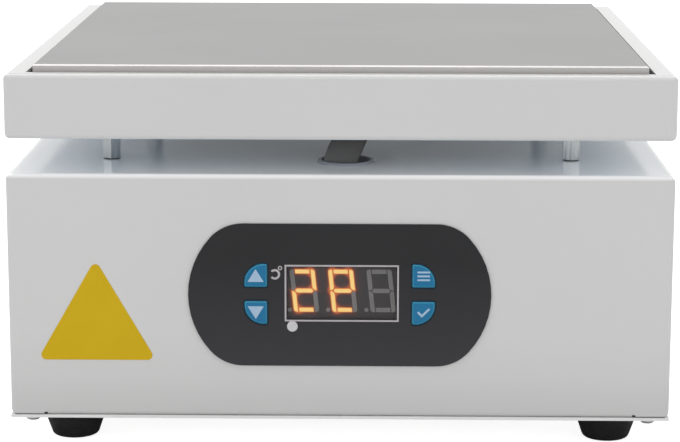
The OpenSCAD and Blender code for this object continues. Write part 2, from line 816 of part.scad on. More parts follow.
// The two element leads and the probe's lead, from the sleeve's end to the power board
module heater_leads() {
    color([0.85, 0.83, 0.78])
        for (k = [-1, 0, 1])
            wire([[sleeve_x + k * lead_pitch, sleeve_y, sleeve_low],
                [sleeve_x + k * lead_pitch, sleeve_y, sleeve_low - 6],
                [sleeve_x - 2 + 5 * k, sleeve_y + 14, sleeve_low - 20],
                [terminal_x + terminal_pitch * (k - 0.5), entry_y - 22, entry_z + 22],
                [terminal_x + terminal_pitch * (k - 0.5), entry_y - 14, entry_z + 5],
                [terminal_x + terminal_pitch * (k - 0.5), entry_y - 8, entry_z + 0.3],
                [terminal_x + terminal_pitch * (k - 0.5), entry_y, entry_z]],
                lead_d, [1, 0, 0]);
}

// The cover's outer skin: the front and rear walls fold under only between the relief notches
module cover_skin() {
    notch_x = body_w / 2 - notch_inset;
    intersection() {
        corner_block(cover_z, cover_top);
        translate([0, middle_y, 0])
            rotate([90, 0, 0])
                linear_extrude(body_d, center = true)
                    polygon(folded(body_w, cover_z, cover_top, side_bend_r, side_bend_r));
        translate([0, middle_y, 0])
            rotate([90, 0, 90])
                union() {
                    linear_extrude(2 * notch_x, center = true)
                        polygon(folded(body_d, cover_z, cover_top, front_bend_r, front_bend_r));
                    for (s = [-1, 1])
                        translate([0, 0, s > 0 ? notch_x : -body_w / 2])
                            linear_extrude(notch_inset)
                                polygon(folded(body_d, cover_z, cover_top, 0, front_bend_r));
                }
    }
}

module lower_cover() {
    notch_x = body_w / 2 - notch_inset;
    notch_h = 0.9;
    color([0.86, 0.86, 0.85])
        difference() {
            cover_skin();
            folded_block(cover_z, cover_top, sheet_t);
            translate([0, middle_y, cover_z + sheet_t / 2])
                cube([body_w - 2 * flange_w, body_d - 2 * flange_w, sheet_t + 2 * cut], center = true);
            // Relief notches at both ends of the front and rear flanges, and from there to the
            // corner a hairline gap under the wall
            for (sx = [-1, 1], sy = [-1, 1])
                translate([sx * notch_x, middle_y + sy * body_d / 2, cover_z]) {
                    cube([notch_w, 2 * sheet_t, 2 * notch_h], center = true);
                    translate([0, -sy * (sheet_t + flange_w + cut) / 2, 0])
                        cube([notch_w, flange_w + cut - sheet_t, 2 * sheet_t + 0.2], center = true);
                    translate([sx * (notch_inset + cut) / 2, 0, 0])
                        cube([notch_inset + cut, 2 * sheet_t, 2 * side_clear], center = true);
                }
            corners(body_w / 2 - base_screw_inset, body_d / 2 - base_screw_inset)
                translate([0, 0, cover_z - cut])
                    cylinder(r = thread_r, h = sheet_t + 2 * cut, $fn = 32);
            corners(pillar_x, pillar_y)
                translate([0, 0, cover_top - sheet_t - cut])
                    cylinder(r = hole_r, h = sheet_t + 2 * cut, $fn = 32);
            translate([lead_x, lead_y, cover_top - sheet_t - cut])
                cylinder(r = neck_r + pin_clear, h = sheet_t + 2 * cut, $fn = 64);
            front_windows();
            // Cut-out and screw holes for the power inlet
            translate([inlet_x - inlet_w / 2 - side_clear, back_y - sheet_t - cut,
                    inlet_z - inlet_h / 2 - side_clear])
                cube([inlet_w + 2 * side_clear, sheet_t + 2 * cut, inlet_h + 2 * side_clear]);
            for (s = [-1, 1])
                translate([inlet_x + s * inlet_screws_w / 2, back_y + cut, inlet_z])
                    rotate([90, 0, 0])
                        cylinder(r = hole_r, h = sheet_t + 2 * cut, $fn = 32);
        }
}

// Openings in the front wall behind the overlay, for the keys, the display and the lamp
module front_windows() {
    plate_at(front_y - cut, sheet_t + 2 * cut) {
        for (s = [-1, 1])
            translate([s * key_x, keys_z])
                square([key_w + 2 * (key_lip + move_clear),
                    key_row_gap + 2 * (key_h + key_lip + move_clear)], center = true);
        translate([display_x, display_z])
            square([display_w + 0.6, display_h + 0.6], center = true);
    }
    translate([lamp_x, front_y + sheet_t + cut, lamp_z])
        rotate([90, 0, 0])
            cylinder(r = lamp_d / 2 + move_clear, h = sheet_t + 2 * cut, $fn = 32);
}

module base_plate() {
    color([0.80, 0.80, 0.79])
        translate([0, 0, base_z])
            linear_extrude(base_t)
                difference() {
                    translate([0, middle_y])
                        square([body_w, body_d], center = true);
                    corners(body_w / 2 - base_screw_inset, body_d / 2 - base_screw_inset)
                        circle(r = hole_r, $fn = 32);
                    corners(body_w / 2 - foot_inset, body_d / 2 - foot_inset)
                        circle(r = hole_r, $fn = 32);
                    power_corners()
                        circle(r = hole_r, $fn = 32);
                    for (side = [-1, 1], k = [0:vent_count - 1])
                        translate([side * body_w / 4,
                                middle_y - body_d / 4 + vent_pitch * (k - (vent_count - 1) / 2)])
                            polygon(rounded(vent_l, vent_w, vent_w / 2, 8));
                }
}
module base_screws() {
    color([0.75, 0.76, 0.78])
        corners(body_w / 2 - base_screw_inset, body_d / 2 - base_screw_inset)
            translate([0, 0, base_z])
                pan_screw(base_t + sheet_t + 2);
}

// Height of the recess under a foot in which its screw sits
foot_recess = 4.6;
module rubber_feet() {
    bottom_r = foot_bottom_d / 2;
    r = foot_edge_r;
    recess_r = head_r + 1.2;
    color([0.10, 0.10, 0.10])
        corners(body_w / 2 - foot_inset, body_d / 2 - foot_inset)
            rotate_extrude($fn = 72)
                polygon(concat([[recess_r, 0]], arc(bottom_r - r, r, r, -90, -15, 6),
                    [[foot_top_d / 2, foot_h], [hole_r, foot_h], [hole_r, foot_recess],
                        [recess_r, foot_recess]]));
}

module foot_screws() {
    color([0.75, 0.76, 0.78])
        corners(body_w / 2 - foot_inset, body_d / 2 - foot_inset)
            translate([0, 0, foot_recess])
                pan_screw(foot_h - foot_recess + base_t + nut_t + 1);
}

// The nuts of the feet, the power inlet and the earth stud
module hex_nuts() {
    color([0.75, 0.76, 0.78]) {
        corners(body_w / 2 - foot_inset, body_d / 2 - foot_inset)
            translate([0, 0, cover_z]) nut();
        translate([earth_x, earth_y, cover_z + lug_t]) nut();
        at_inlet()
            for (s = [-1, 1])
                translate([s * inlet_screws_w / 2, -sheet_t, 0])
                    rotate([90, 0, 0]) nut();
    }
}
module nut() {
    difference() {
        hex_bar(nut_af, nut_t, 0);
        translate([0, 0, -cut])
            cylinder(r = thread_r, h = nut_t + 2 * cut, $fn = 32);
    }
}

module control_panel() {
    color([0.20, 0.20, 0.21])
        plate_at(front_y - panel_t, panel_t)
            difference() {
                translate([0, panel_z]) polygon(panel_outline());
                for (side = [UP, DOWN, SET, ENTER])
                    translate([side[0] * key_x, keys_z + side[1] * key_z])
                        polygon(key_outline(side, key_clear));
                translate([display_x, display_z]) square([window_w, window_h], center = true);
                translate([lamp_x, lamp_z]) circle(r = lamp_d / 2 + 0.05, $fn = 40);
            }
}

// Smoked window that fills the overlay's opening, with a lip that holds it from behind
module display_window() {
    slack = 0.05;
    color([0.25, 0.22, 0.22, 0.5]) {
        plate_at(front_y - panel_t, panel_t)
            translate([display_x, display_z])
                square([window_w - 2 * slack, window_h - 2 * slack], center = true);
        plate_at(front_y, window_lip_t)
            translate([display_x, display_z])
                square([window_w + 2 * (window_lip - slack), window_h + 2 * (window_lip - slack)],
                    center = true);
    }
}

module display_module() {
    pin_l = 3;
    color([0.23, 0.22, 0.22]) {
        plate_at(module_y, module_t)
            translate([display_x, display_z])
                square([window_w + 2 * window_lip, window_h + 2 * window_lip - 0.4], center = true);
        for (k = [-2.5:1:2.5], row = [-1, 1])
            translate([display_x + pin_pitch * k, board_y, display_z + row * pin_row])
                rotate([-90, 0, 0])
                    cylinder(r = pin_r, h = pin_l, $fn = 16);
    }
}

module segments(glow) {
    for (digit = [0:2]) {
        at = [display_x + digit_shift[0] + (digit - 1) * digit_pitch, display_z + digit_shift[1]];
        for (name = ["a", "b", "c", "d", "e", "f", "g"])
            if ((len(search(name, LIT[digit])) > 0) == glow)
                plate_at(segment_y, segment_t)
                    translate(at) polygon(segment(name));
        if (!glow)
            plate_at(segment_y, segment_t)
                translate(at + lean([-digit_w / 2 - point_d * 0.95, -(digit_h - segment_w) / 2]))
                    circle(r = point_d / 2, $fn = 24);
    }
}
module lit_segments() {
    color([1, 0.75, 0.25]) segments(true);
}
module unlit_segments() {
    color([0.42, 0.41, 0.41]) segments(false);
}

module output_lamp() {
    color([0.90, 0.88, 0.88])
        translate([lamp_x, board_y, lamp_z])
            rotate([90, 0, 0])
                cylinder(r = lamp_d / 2, h = board_y - front_y + panel_t + lamp_lens, $fn = 40);
}

module key(side) {
    color([0.10, 0.49, 0.71])
        translate([side[0] * key_x, 0, keys_z + side[1] * key_z]) {
            plate_at(front_y - panel_t - key_proud, panel_t + key_proud + side_clear)
                polygon(key_outline(side, 0));
            plate_at(lip_y, key_lip_t)
                polygon(key_outline(side, key_lip));
        }
}
module key_up() key(UP);
module key_down() key(DOWN);
module key_set() key(SET);
module key_enter() key(ENTER);

module plunger(side) {
    color([0.15, 0.15, 0.15])
        translate([side[0] * key_x, lip_back, keys_z + side[1] * key_z])
            rotate([-90, 0, 0])
                cylinder(r = plunger_d / 2, h = switch_y + plunger_seat - lip_back, $fn = 40);
}
module plunger_up() plunger(UP);
module plunger_down() plunger(DOWN);
module plunger_set() plunger(SET);
module plunger_enter() plunger(ENTER);

module key_switches() {
    bore_l = plunger_seat + key_travel + move_clear;
    color([0.12, 0.12, 0.12])
        for (side = [UP, DOWN, SET, ENTER])
            translate([side[0] * key_x, switch_y, keys_z + side[1] * key_z])
                difference() {
                    translate([-switch_a / 2, 0, -switch_a / 2])
                        cube([switch_a, switch_h, switch_a]);
                    translate([0, bore_l, 0])
                        rotate([90, 0, 0])
                            cylinder(r = plunger_d / 2 + pin_clear, h = bore_l + cut, $fn = 40);
                }
}

module control_board() {
    color([0.10, 0.35, 0.20])
        plate_at(board_y, board_t)
            translate([0, keys_z])
                difference() {
                    square([board_w, board_h], center = true);
                    for (sx = [-1, 1], sz = [-1, 1])
                        translate([sx * (board_w / 2 - board_hole), sz * (board_h / 2 - board_hole)])
                            circle(r = hole_r, $fn = 32);
                    for (k = [-2.5:1:2.5], row = [-1, 1])
                        translate([display_x + pin_pitch * k, display_lift + row * pin_row])
                            circle(r = pin_r + side_clear, $fn = 16);
                }
}

// Microcontroller, two capacitors, a buzzer and the ribbon's header on the board's back
module control_parts() {
    back = board_y + board_t;
    color([0.15, 0.15, 0.16])
        translate([0, back, keys_z]) {
            translate([-8, 0, -4]) cube([14, 2.4, 8]);
            for (x = [-26, -18])
                translate([x, 0, 11])
                    rotate([-90, 0, 0]) cylinder(r = 3, h = 8, $fn = 32);
            translate([26, 0, 4]) rotate([-90, 0, 0]) cylinder(r = 6, h = 7, $fn = 40);
            translate([ribbon_x - header_w / 2, 0, -header_drop])
                cube([header_w, header_d, header_h]);
        }
}

module board_spacers() {
    color([0.80, 0.68, 0.38])
        upright_corners(board_w / 2 - board_hole, board_h / 2 - board_hole)
            translate([0, front_y + sheet_t, 0])
                rotate([-90, 0, 0])
                    difference() {
                        hex_bar(spacer_af, board_y - front_y - sheet_t, 0);
                        translate([0, 0, 1])
                            cylinder(r = thread_r, h = board_y - front_y - sheet_t, $fn = 32);
                    }
}

module board_screws() {
    color([0.75, 0.76, 0.78])
        upright_corners(board_w / 2 - board_hole, board_h / 2 - board_hole)
            translate([0, board_y + board_t, 0])
                rotate([90, 0, 0])
                    pan_screw(board_t + thread_l);
}

module power_board() {
    color([0.10, 0.35, 0.20])
        translate([0, 0, power_z])
            linear_extrude(board_t)
                difference() {
                    translate([power_x, power_y + middle_y]) square([power_w, power_d], center = true);
                    power_corners() circle(r = hole_r, $fn = 32);
                }
}
module power_corners() {
    for (sx = [-1, 1], sy = [-1, 1])
        translate([power_x + sx * (power_w / 2 - power_hole),
                middle_y + power_y + sy * (power_d / 2 - power_hole), 0])
            children();
}

module power_spacers() {
    color([0.80, 0.68, 0.38])
        power_corners()
            translate([0, 0, cover_z])
                difference() {
                    hex_bar(spacer_af, power_lift, 0);
                    translate([0, 0, -cut])
                        cylinder(r = thread_r, h = power_lift + 2 * cut, $fn = 32);
                }
}

// Screws from above and from below, each as long as the spacer lets it be
module power_screws() {
    bite = power_lift / 2 - 0.4;
    color([0.75, 0.76, 0.78])
        power_corners() {
            translate([0, 0, base_z]) pan_screw(base_t + bite);
            translate([0, 0, power_z + board_t]) mirror([0, 0, 1]) pan_screw(board_t + bite);
        }
}

module transformer() {
    color([0.35, 0.35, 0.36])
        translate([power_x - power_w / 2 + 10, power_y + middle_y, power_z + board_t])
            union() {
                cube([core_w, core_d, core_h]);
                translate([core_leg, -coil_out, core_leg])
                    cube([core_w - 2 * core_leg, core_d + 2 * coil_out, core_h - 2 * core_leg]);
            }
}

heatsink_x = power_x + 22;
heatsink_y = power_y + middle_y + 22;
module heatsink() {
    w = 46;
    h = 26;
    back_t = 3;
    fin_t = 1.6;
    fin_l = 12;
    fins = 8;
    color([0.60, 0.61, 0.63])
        translate([heatsink_x, heatsink_y, power_z + board_t])
            union() {
                translate([-w / 2, 0, 0]) cube([w, back_t, h]);
                for (k = [0:fins - 1])
                    translate([-w / 2 + k * (w - fin_t) / (fins - 1), back_t, 0])
                        cube([fin_t, fin_l, h]);
            }
}

module triac() {
    color([0.10, 0.10, 0.11])
        translate([heatsink_x, heatsink_y, power_z + board_t]) {
            translate([-5, -1.3, 6]) cube([10, 1.3, 16]);
            translate([-5, -4.6, 6]) cube([10, 3.3, 9.5]);
            for (k = [-1, 0, 1])
                translate([pin_pitch * k - 0.4, -2.9, 0]) cube([0.8, 0.8, 6]);
        }
}

module at_ways() {
    for (k = [0:terminal_ways - 1])
        translate([terminal_x + terminal_pitch * (k + 0.5 - terminal_ways / 2), terminal_y,
                power_z + board_t])
            children();
}
module terminal_block() {
    w = terminal_ways * terminal_pitch;
    color([0.10, 0.30, 0.22])
        difference() {
            translate([terminal_x - w / 2, terminal_y - terminal_d / 2, power_z + board_t])
                cube([w, terminal_d, terminal_h]);
            at_ways() {
                translate([0, 0, terminal_h - terminal_hole])
                    cylinder(r = 2, h = terminal_hole + cut, $fn = 32);
                translate([-pocket_w / 2, -terminal_d / 2 - cut, pocket_z])
                    cube([pocket_w, pocket_d + cut, pocket_w]);
            }
        }
}

module terminal_screws() {
    screw_h = 3;
    color([0.75, 0.76, 0.78])
        at_ways()
            translate([0, 0, terminal_h - terminal_hole])
                difference() {
                    cylinder(r = 2 - hole_clear, h = screw_h, $fn = 32);
                    translate([-2, -0.3, screw_h - 1]) cube([4, 0.6, 1 + cut]);
                }
}

module ribbon_cable() {
    plug_y = board_y + board_t + header_d;
    plug_z = keys_z - header_drop + header_h / 2;
    board_top = power_z + board_t;
    edge_y = power_y + middle_y - power_d / 2 + 5;
    color([0.62, 0.62, 0.62])
        sweep([[ribbon_x, plug_y, plug_z], [ribbon_x, plug_y + 6, plug_z],
            [ribbon_x, plug_y + 22, plug_z - 11], [ribbon_x, edge_y - 14, board_top + 12],
            [ribbon_x, edge_y, board_top + 6], [ribbon_x, edge_y, board_top]], 3,
            [for (s = [[1, 1], [-1, 1], [-1, -1], [1, -1]])
                [s[0] * ribbon_w / 2, s[1] * ribbon_t / 2]], [1, 0, 0]);
}

// Live and neutral from the inlet's tabs to the terminal block, and earth with its ring lug
module mains_leads() {
    tab_y = back_y - inlet_d - tab_l;
    blade_z = inlet_z + socket_z;
    lug_r = screw_r + 1.9;
    earth_z = cover_z + mains_d / 2 + 0.5;
    color([0.45, 0.25, 0.12])
        for (s = [-1, 1])
            wire([[inlet_x + 7 * s, tab_y, blade_z - 2], [inlet_x + 7 * s, tab_y - 10, blade_z - 2],
                [inlet_x - 30 + 6 * s, tab_y - 44, blade_z - 8],
                [terminal_x + 24 + 5 * s, entry_y - 20, entry_z + 12],
                [terminal_x + terminal_pitch * (2 + s / 2), entry_y - 8, entry_z + 0.2],
                [terminal_x + terminal_pitch * (2 + s / 2), entry_y, entry_z]], mains_d, [0, 0, 1]);
    color([0.30, 0.60, 0.20]) {
        wire([[inlet_x, tab_y, blade_z + 2], [inlet_x, tab_y - 8, blade_z + 2],
            [earth_x - 16, earth_y + 12, cover_z + 14], [earth_x - 13, earth_y + 3, earth_z + 3],
            [earth_x - 9, earth_y, earth_z], [earth_x - lug_r - 0.05, earth_y, earth_z]],
            mains_d, [0, 0, 1]);
        translate([earth_x, earth_y, cover_z])
            difference() {
                cylinder(r = lug_r, h = lug_t, $fn = 40);
                translate([0, 0, -cut]) cylinder(r = hole_r, h = lug_t + 2 * cut, $fn = 32);
            }
    }
}

// A stud that is welded to the base plate
module earth_stud() {
    color([0.80, 0.68, 0.38])
        translate([earth_x, earth_y, cover_z])
            cylinder(r = screw_r, h = lug_t + nut_t + 3, $fn = 32);
}

// The inlet's parts are placed from the outer face of the rear wall, on the inlet's middle
module at_inlet() {
    translate([inlet_x, back_y, inlet_z]) children();
}
// An outline in X and Z, drawn from a depth behind the wall to a height before it
module outward(from, to) {
    translate([0, to, 0])
        rotate([90, 0, 0])
            linear_extrude(to - from) children();
}
module socket_outline() {
    w = socket_w / 2;
    h = socket_h / 2;
    c = socket_chamfer;
    polygon([[-w, -h], [w, -h], [w, h - c], [w - c, h], [c - w, h], [-w, h - c]]);
}
// Middles of the three contact blades: two side by side and one above
blades = [[-7, -2], [7, -2], [0, 2]];

module inlet_housing() {
    face = inlet_flange_t;
    well_w = 2 * (rocker_r + move_clear);
    well_d = rocker_sink + rocker_r * sin(rocker_heel + rocker_tilt) + move_clear;
    color([0.09, 0.09, 0.09])
        at_inlet()
            difference() {
                union() {
                    outward(0, face)
                        polygon(rounded(inlet_flange_w, inlet_flange_h, inlet_corner, 6));
                    outward(-inlet_d, 0) square([inlet_w, inlet_h], center = true);
                }
                outward(face - socket_d, face + cut) translate([0, socket_z]) socket_outline();
                for (b = blades)
                    outward(-inlet_d - cut, face - socket_d + cut)
                        translate([b[0], socket_z + b[1]])
                            square([blade_w + 2 * side_clear, blade_h + 2 * side_clear], center = true);
                outward(face - drawer_d - 1, face + cut)
                    translate([0, drawer_z])
                        square([drawer_w + 2 * move_clear, drawer_h + 2 * move_clear], center = true);
                outward(face - well_d, face + cut)
                    translate([0, rocker_z])
                        square([well_w, rocker_l + 2 * move_clear], center = true);
                translate([0, face - rocker_sink, rocker_z - rocker_l / 2 - rocker_pin_l - move_clear])
                    cylinder(r = rocker_pin_r + pin_clear,
                        h = rocker_l + 2 * (rocker_pin_l + move_clear), $fn = 32);
                for (s = [-1, 1])
                    translate([s * inlet_screws_w / 2, face, 0])
                        rotate([90, 0, 0]) {
                            translate([0, 0, -cut]) cylinder(r = hole_r, h = face + 2 * cut, $fn = 32);
                            cylinder(r1 = head_r + 0.1, r2 = hole_r, h = 1.6, $fn = 40);
                        }
            }
}

module inlet_pins() {
    face = inlet_flange_t;
    floor_y = face - socket_d;
    color([0.82, 0.83, 0.84])
        at_inlet()
            for (b = blades)
                translate([b[0], 0, socket_z + b[1]]) {
                    outward(-inlet_d, floor_y + blade_l) square([blade_w, blade_h], center = true);
                    outward(-inlet_d - tab_l, -inlet_d) square([tab_t, blade_h + 2], center = true);
                }
}

module inlet_screws() {
    face = inlet_flange_t;
    color([0.75, 0.76, 0.78])
        at_inlet()
            for (s = [-1, 1])
                translate([s * inlet_screws_w / 2, face, 0])
                    rotate([90, 0, 0]) {
                        cylinder(r1 = head_r, r2 = screw_r, h = 1.5, $fn = 40);
                        translate([0, 0, 1.5])
                            cylinder(r = screw_r, h = face + sheet_t + nut_t + 1 - 1.5, $fn = 32);
                    }
}

// The drawer: a face with a finger lip, and an open trough that carries the fuse crosswise
module fuse_drawer() {
    face = inlet_flange_t + side_clear;
    wall = 0.7;
    trough_back = inlet_flange_t - drawer_d + 1;
    color([0.09, 0.09, 0.09])
        at_inlet()
            translate([0, 0, drawer_z])
                union() {
                    outward(face, face + drawer_face_t)
                        square([drawer_w + 1.6, drawer_h + 1.2], center = true);
                    translate([-3, face + drawer_face_t, drawer_h / 2 - 0.4])
                        cube([6, drawer_lip, 1]);
                    difference() {
                        outward(inlet_flange_t - drawer_d, face)
                            square([drawer_w, drawer_h], center = true);
                        translate([-drawer_w / 2 + wall, trough_back, -drawer_h / 2 + wall])
                            cube([drawer_w - 2 * wall, 2 * fuse_r + 0.4, drawer_h]);
                        translate([-drawer_w / 2 + 3, trough_back + 2 * fuse_r + 1.6, -drawer_h / 2 - cut])
                            cube([drawer_w - 6, drawer_d - 2 * fuse_r - 4.6, drawer_h + 2 * cut]);
                    }
                }
}

module fuse() {
    cap_l = 5;
    wall = 0.7;
    y = inlet_flange_t - drawer_d + 1 + fuse_r + 0.2;
    z = drawer_z - drawer_h / 2 + wall + fuse_r;
    color([0.80, 0.81, 0.80])
        at_inlet()
            translate([-fuse_l / 2, y, z])
                rotate([0, 90, 0]) {
                    cylinder(r = fuse_r, h = cap_l, $fn = 32);
                    translate([0, 0, cap_l]) cylinder(r = fuse_r - 0.25, h = fuse_l - 2 * cap_l, $fn = 32);
                    translate([0, 0, fuse_l - cap_l]) cylinder(r = fuse_r, h = cap_l, $fn = 32);
                }
}

// The rocker turns about a vertical pin: round ends, a shallow valley and a flat back
module rocker() {
    color([0.62, 0.06, 0.05])
        at_inlet()
            translate([0, inlet_flange_t - rocker_sink, rocker_z])
                rotate([0, 0, rocker_tilt])
                    union() {
                        translate([0, 0, -rocker_l / 2])
                            linear_extrude(rocker_l)
                                polygon(concat(
                                    [[0, rocker_valley]],
                                    arc(0, 0, rocker_r, 180 - rocker_corner, 180 + rocker_heel, 8),
                                    arc(0, 0, rocker_r, -rocker_heel, rocker_corner, 8)));
                        translate([0, 0, -rocker_l / 2 - rocker_pin_l])
                            cylinder(r = rocker_pin_r, h = rocker_l + 2 * rocker_pin_l, $fn = 32);
                    }
}

heating_plate();
heater_elements();
element_terminals();
element_clamps();
clamp_screws();
temperature_probe();
probe_screw();
insulation_mat();
heat_tray();
plate_posts();
post_studs();
hex_pillars();
pillar_screws();
pillar_washers();
cable_grommets();
lead_sleeve();
tray_leads();
heater_leads();
lower_cover();
base_plate();
base_screws();
rubber_feet();
foot_screws();
hex_nuts();
control_panel();
display_window();
display_module();
lit_segments();
unlit_segments();
output_lamp();
key_up();
key_down();
key_set();
key_enter();
plunger_up();
plunger_down();
plunger_set();
plunger_enter();
key_switches();
control_board();
control_parts();
board_spacers();
board_screws();
power_board();
power_spacers();
power_screws();
transformer();
heatsink();
triac();
terminal_block();
terminal_screws();
ribbon_cable();
mains_leads();
earth_stud();
inlet_housing();
inlet_pins();
inlet_screws();
fuse_drawer();
fuse();
rocker();
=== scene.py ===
import math

import bmesh
import bpy
from mathutils import Matrix, Vector


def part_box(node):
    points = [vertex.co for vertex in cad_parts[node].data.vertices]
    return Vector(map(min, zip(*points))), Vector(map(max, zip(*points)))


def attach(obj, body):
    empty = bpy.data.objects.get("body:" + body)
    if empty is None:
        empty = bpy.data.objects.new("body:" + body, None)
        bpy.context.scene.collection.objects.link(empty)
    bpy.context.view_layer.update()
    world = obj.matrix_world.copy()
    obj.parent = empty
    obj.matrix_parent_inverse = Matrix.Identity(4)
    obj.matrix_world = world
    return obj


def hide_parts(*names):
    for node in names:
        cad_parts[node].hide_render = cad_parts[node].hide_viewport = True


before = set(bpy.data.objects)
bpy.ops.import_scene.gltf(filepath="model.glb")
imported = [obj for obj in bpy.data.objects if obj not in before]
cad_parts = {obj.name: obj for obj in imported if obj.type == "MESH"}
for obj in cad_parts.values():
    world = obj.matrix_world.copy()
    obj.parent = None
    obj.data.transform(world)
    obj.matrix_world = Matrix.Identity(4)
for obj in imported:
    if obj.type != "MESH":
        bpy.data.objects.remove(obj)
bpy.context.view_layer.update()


# Hot plate
# A 10 mm plate of ground aluminium with a small bevel along its top edges. The heat has left it
# a little uneven in tone. It lies on four ceramic posts in the tray.
def shader_of(material):
    """The shader that takes the material's values."""
    return material.node_tree.nodes["Principled BSDF"]


def tree_of(owner):
    """Nodes and links of a material or of the world."""
    return owner.node_tree.nodes, owner.node_tree.links


def finish(name, colour, metal=0.0, rough=0.5, shine=0.5):
    """A material whose even values stand on the shader's own sockets."""
    material = bpy.data.materials.new(name)
    material.use_nodes = True
    shader = shader_of(material)
    shader.inputs["Base Color"].default_value = (*colour, 1)
    shader.inputs["Metallic"].default_value = metal
    shader.inputs["Roughness"].default_value = rough
    shader.inputs["Specular IOR Level"].default_value = shine
    return material


def steer(material, socket, value):
    """Lets a pattern set one of the shader's values."""
    material.node_tree.links.new(value, shader_of(material).inputs[socket])


def grain(material, spot, stretch=(1, 1, 1), detail=3.0):
    """Noise fixed to the piece, in spots of that width in metres, longer where stretched."""
    nodes, links = tree_of(material)
    place = nodes.new("ShaderNodeTexCoord")
    scaled = nodes.new("ShaderNodeMapping")
    scaled.inputs["Scale"].default_value = [1 / (spot * s) for s in stretch]
    noise = nodes.new("ShaderNodeTexNoise")
    noise.inputs["Scale"].default_value = 1.0
    noise.inputs["Detail"].default_value = detail
    links.new(place.outputs["Object"], scaled.inputs["Vector"])
    links.new(scaled.outputs["Vector"], noise.inputs["Vector"])
    return noise.outputs["Fac"]


def shades(owner, value, stops):
    """A colour for a number, blended between stops of (number, colour)."""
    nodes, links = tree_of(owner)
    ramp = nodes.new("ShaderNodeValToRGB")
    marks = ramp.color_ramp.elements
    for mark, (at, colour) in zip(marks, (stops[0], stops[-1])):
        mark.position = at
        mark.color = (*colour, 1)
    for at, colour in stops[1:-1]:
        marks.new(at).color = (*colour, 1)
    links.new(value, ramp.inputs["Fac"])
    return ramp.outputs["Color"]


def span(material, value, low, high, first=0.0, last=1.0):
    """Turns a number that runs from low to high into one from first to last."""
    nodes, links = tree_of(material)
    scale = nodes.new("ShaderNodeMapRange")
    scale.inputs["From Min"].default_value = low
    scale.inputs["From Max"].default_value = high
    scale.inputs["To Min"].default_value = first
    scale.inputs["To Max"].default_value = last
    links.new(value, scale.inputs["Value"])
    return scale.outputs["Result"]


grain_low, grain_high = 0.3, 0.7


def tone(material, dark, light, **spots):
    """A grain of such spots sets the colour."""
    stops = [(grain_low, dark), (grain_high, light)]
    steer(material, "Base Color", shades(material, grain(material, **spots), stops))


def gloss(material, smooth, rough, **spots):
    """A grain of such spots sets the roughness."""
    pattern = grain(material, **spots)
    steer(material, "Roughness", span(material, pattern, grain_low, grain_high, smooth, rough))


def dent(material, pattern, depth):
    """The pattern dents the surface, by that depth in metres."""
    nodes, links = tree_of(material)
    bump = nodes.new("ShaderNodeBump")
    bump.inputs["Strength"].default_value = 1.0
    bump.inputs["Distance"].default_value = depth
    links.new(pattern, bump.inputs["Height"])
    steer(material, "Normal", bump.outputs["Normal"])


def relief(material, depth, **spots):
    """A grain of such spots dents the surface, by that depth in metres."""
    dent(material, grain(material, **spots), depth)


def parts_of(owner, vector):
    """The X, Y and Z of a place or a direction, as three sockets."""
    nodes, links = tree_of(owner)
    split = nodes.new("ShaderNodeSeparateXYZ")
    links.new(vector, split.inputs["Vector"])
    return split.outputs


def toward(material, share, colour):
    """Turns the base colour towards another one, fully where the share is 1."""
    nodes, links = tree_of(material)
    blend = nodes.new("ShaderNodeMix")
    blend.data_type = "RGBA"
    blend.inputs["B"].default_value = (*colour, 1)
    base = shader_of(material).inputs["Base Color"]
    links.new(share, blend.inputs["Factor"])
    links.new(base.links[0].from_socket, blend.inputs["A"])
    links.new(blend.outputs["Result"], base)


def dress(material, *names):
    """Gives these CAD nodes the material."""
    for name in names:
        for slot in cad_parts[name].material_slots:
            slot.material = material


plate_finish = finish("ground_aluminium", (0.455, 0.46, 0.455), metal=1.0, rough=0.56)
shader_of(plate_finish).inputs["Specular Tint"].default_value = (0.62, 0.62, 0.62, 1)
tone(plate_finish, (0.447, 0.452, 0.447), (0.463, 0.468, 0.463), spot=0.05)
facing = tree_of(plate_finish)[0].new("ShaderNodeNewGeometry")
upright = parts_of(plate_finish, facing.outputs["True Normal"])["Z"]
# How far the surface faces up where each tone begins and is full: first a painted highlight
# on the bevel, then painted light on the sides
plate_painted_light = [(0.9, 0.75, (0.58, 0.573, 0.566)), (0.6, 0.3, (0.66, 0.645, 0.63))]
for none_at, full_at, colour in plate_painted_light:
    toward(plate_finish, span(plate_finish, upright, none_at, full_at), colour)
gloss(plate_finish, smooth=0.55, rough=0.61, spot=0.0009, stretch=(30, 1, 1))
relief(plate_finish, depth=0.000001, spot=0.0005, stretch=(40, 1, 1))
dress(plate_finish, "heating_plate")


# Heating elements
# Steel tubes bent to a U and pressed into grooves under the plate, with ceramic end beads and
# threaded pins. Plated strips hold them up. They are dull and brown from the heat.
tube_finish = finish("heated_tube_steel", (0.16, 0.14, 0.13), metal=1.0, rough=0.5)
tone(tube_finish, (0.10, 0.085, 0.08), (0.20, 0.18, 0.165), spot=0.012)
gloss(tube_finish, smooth=0.42, rough=0.6, spot=0.003)
dress(tube_finish, "heater_elements")

ceramic = finish("unglazed_ceramic", (0.80, 0.77, 0.69), rough=0.75, shine=0.3)
tone(ceramic, (0.76, 0.73, 0.65), (0.83, 0.80, 0.73), spot=0.002)
relief(ceramic, depth=0.00002, spot=0.0004)
dress(ceramic, "element_terminals", "plate_posts")


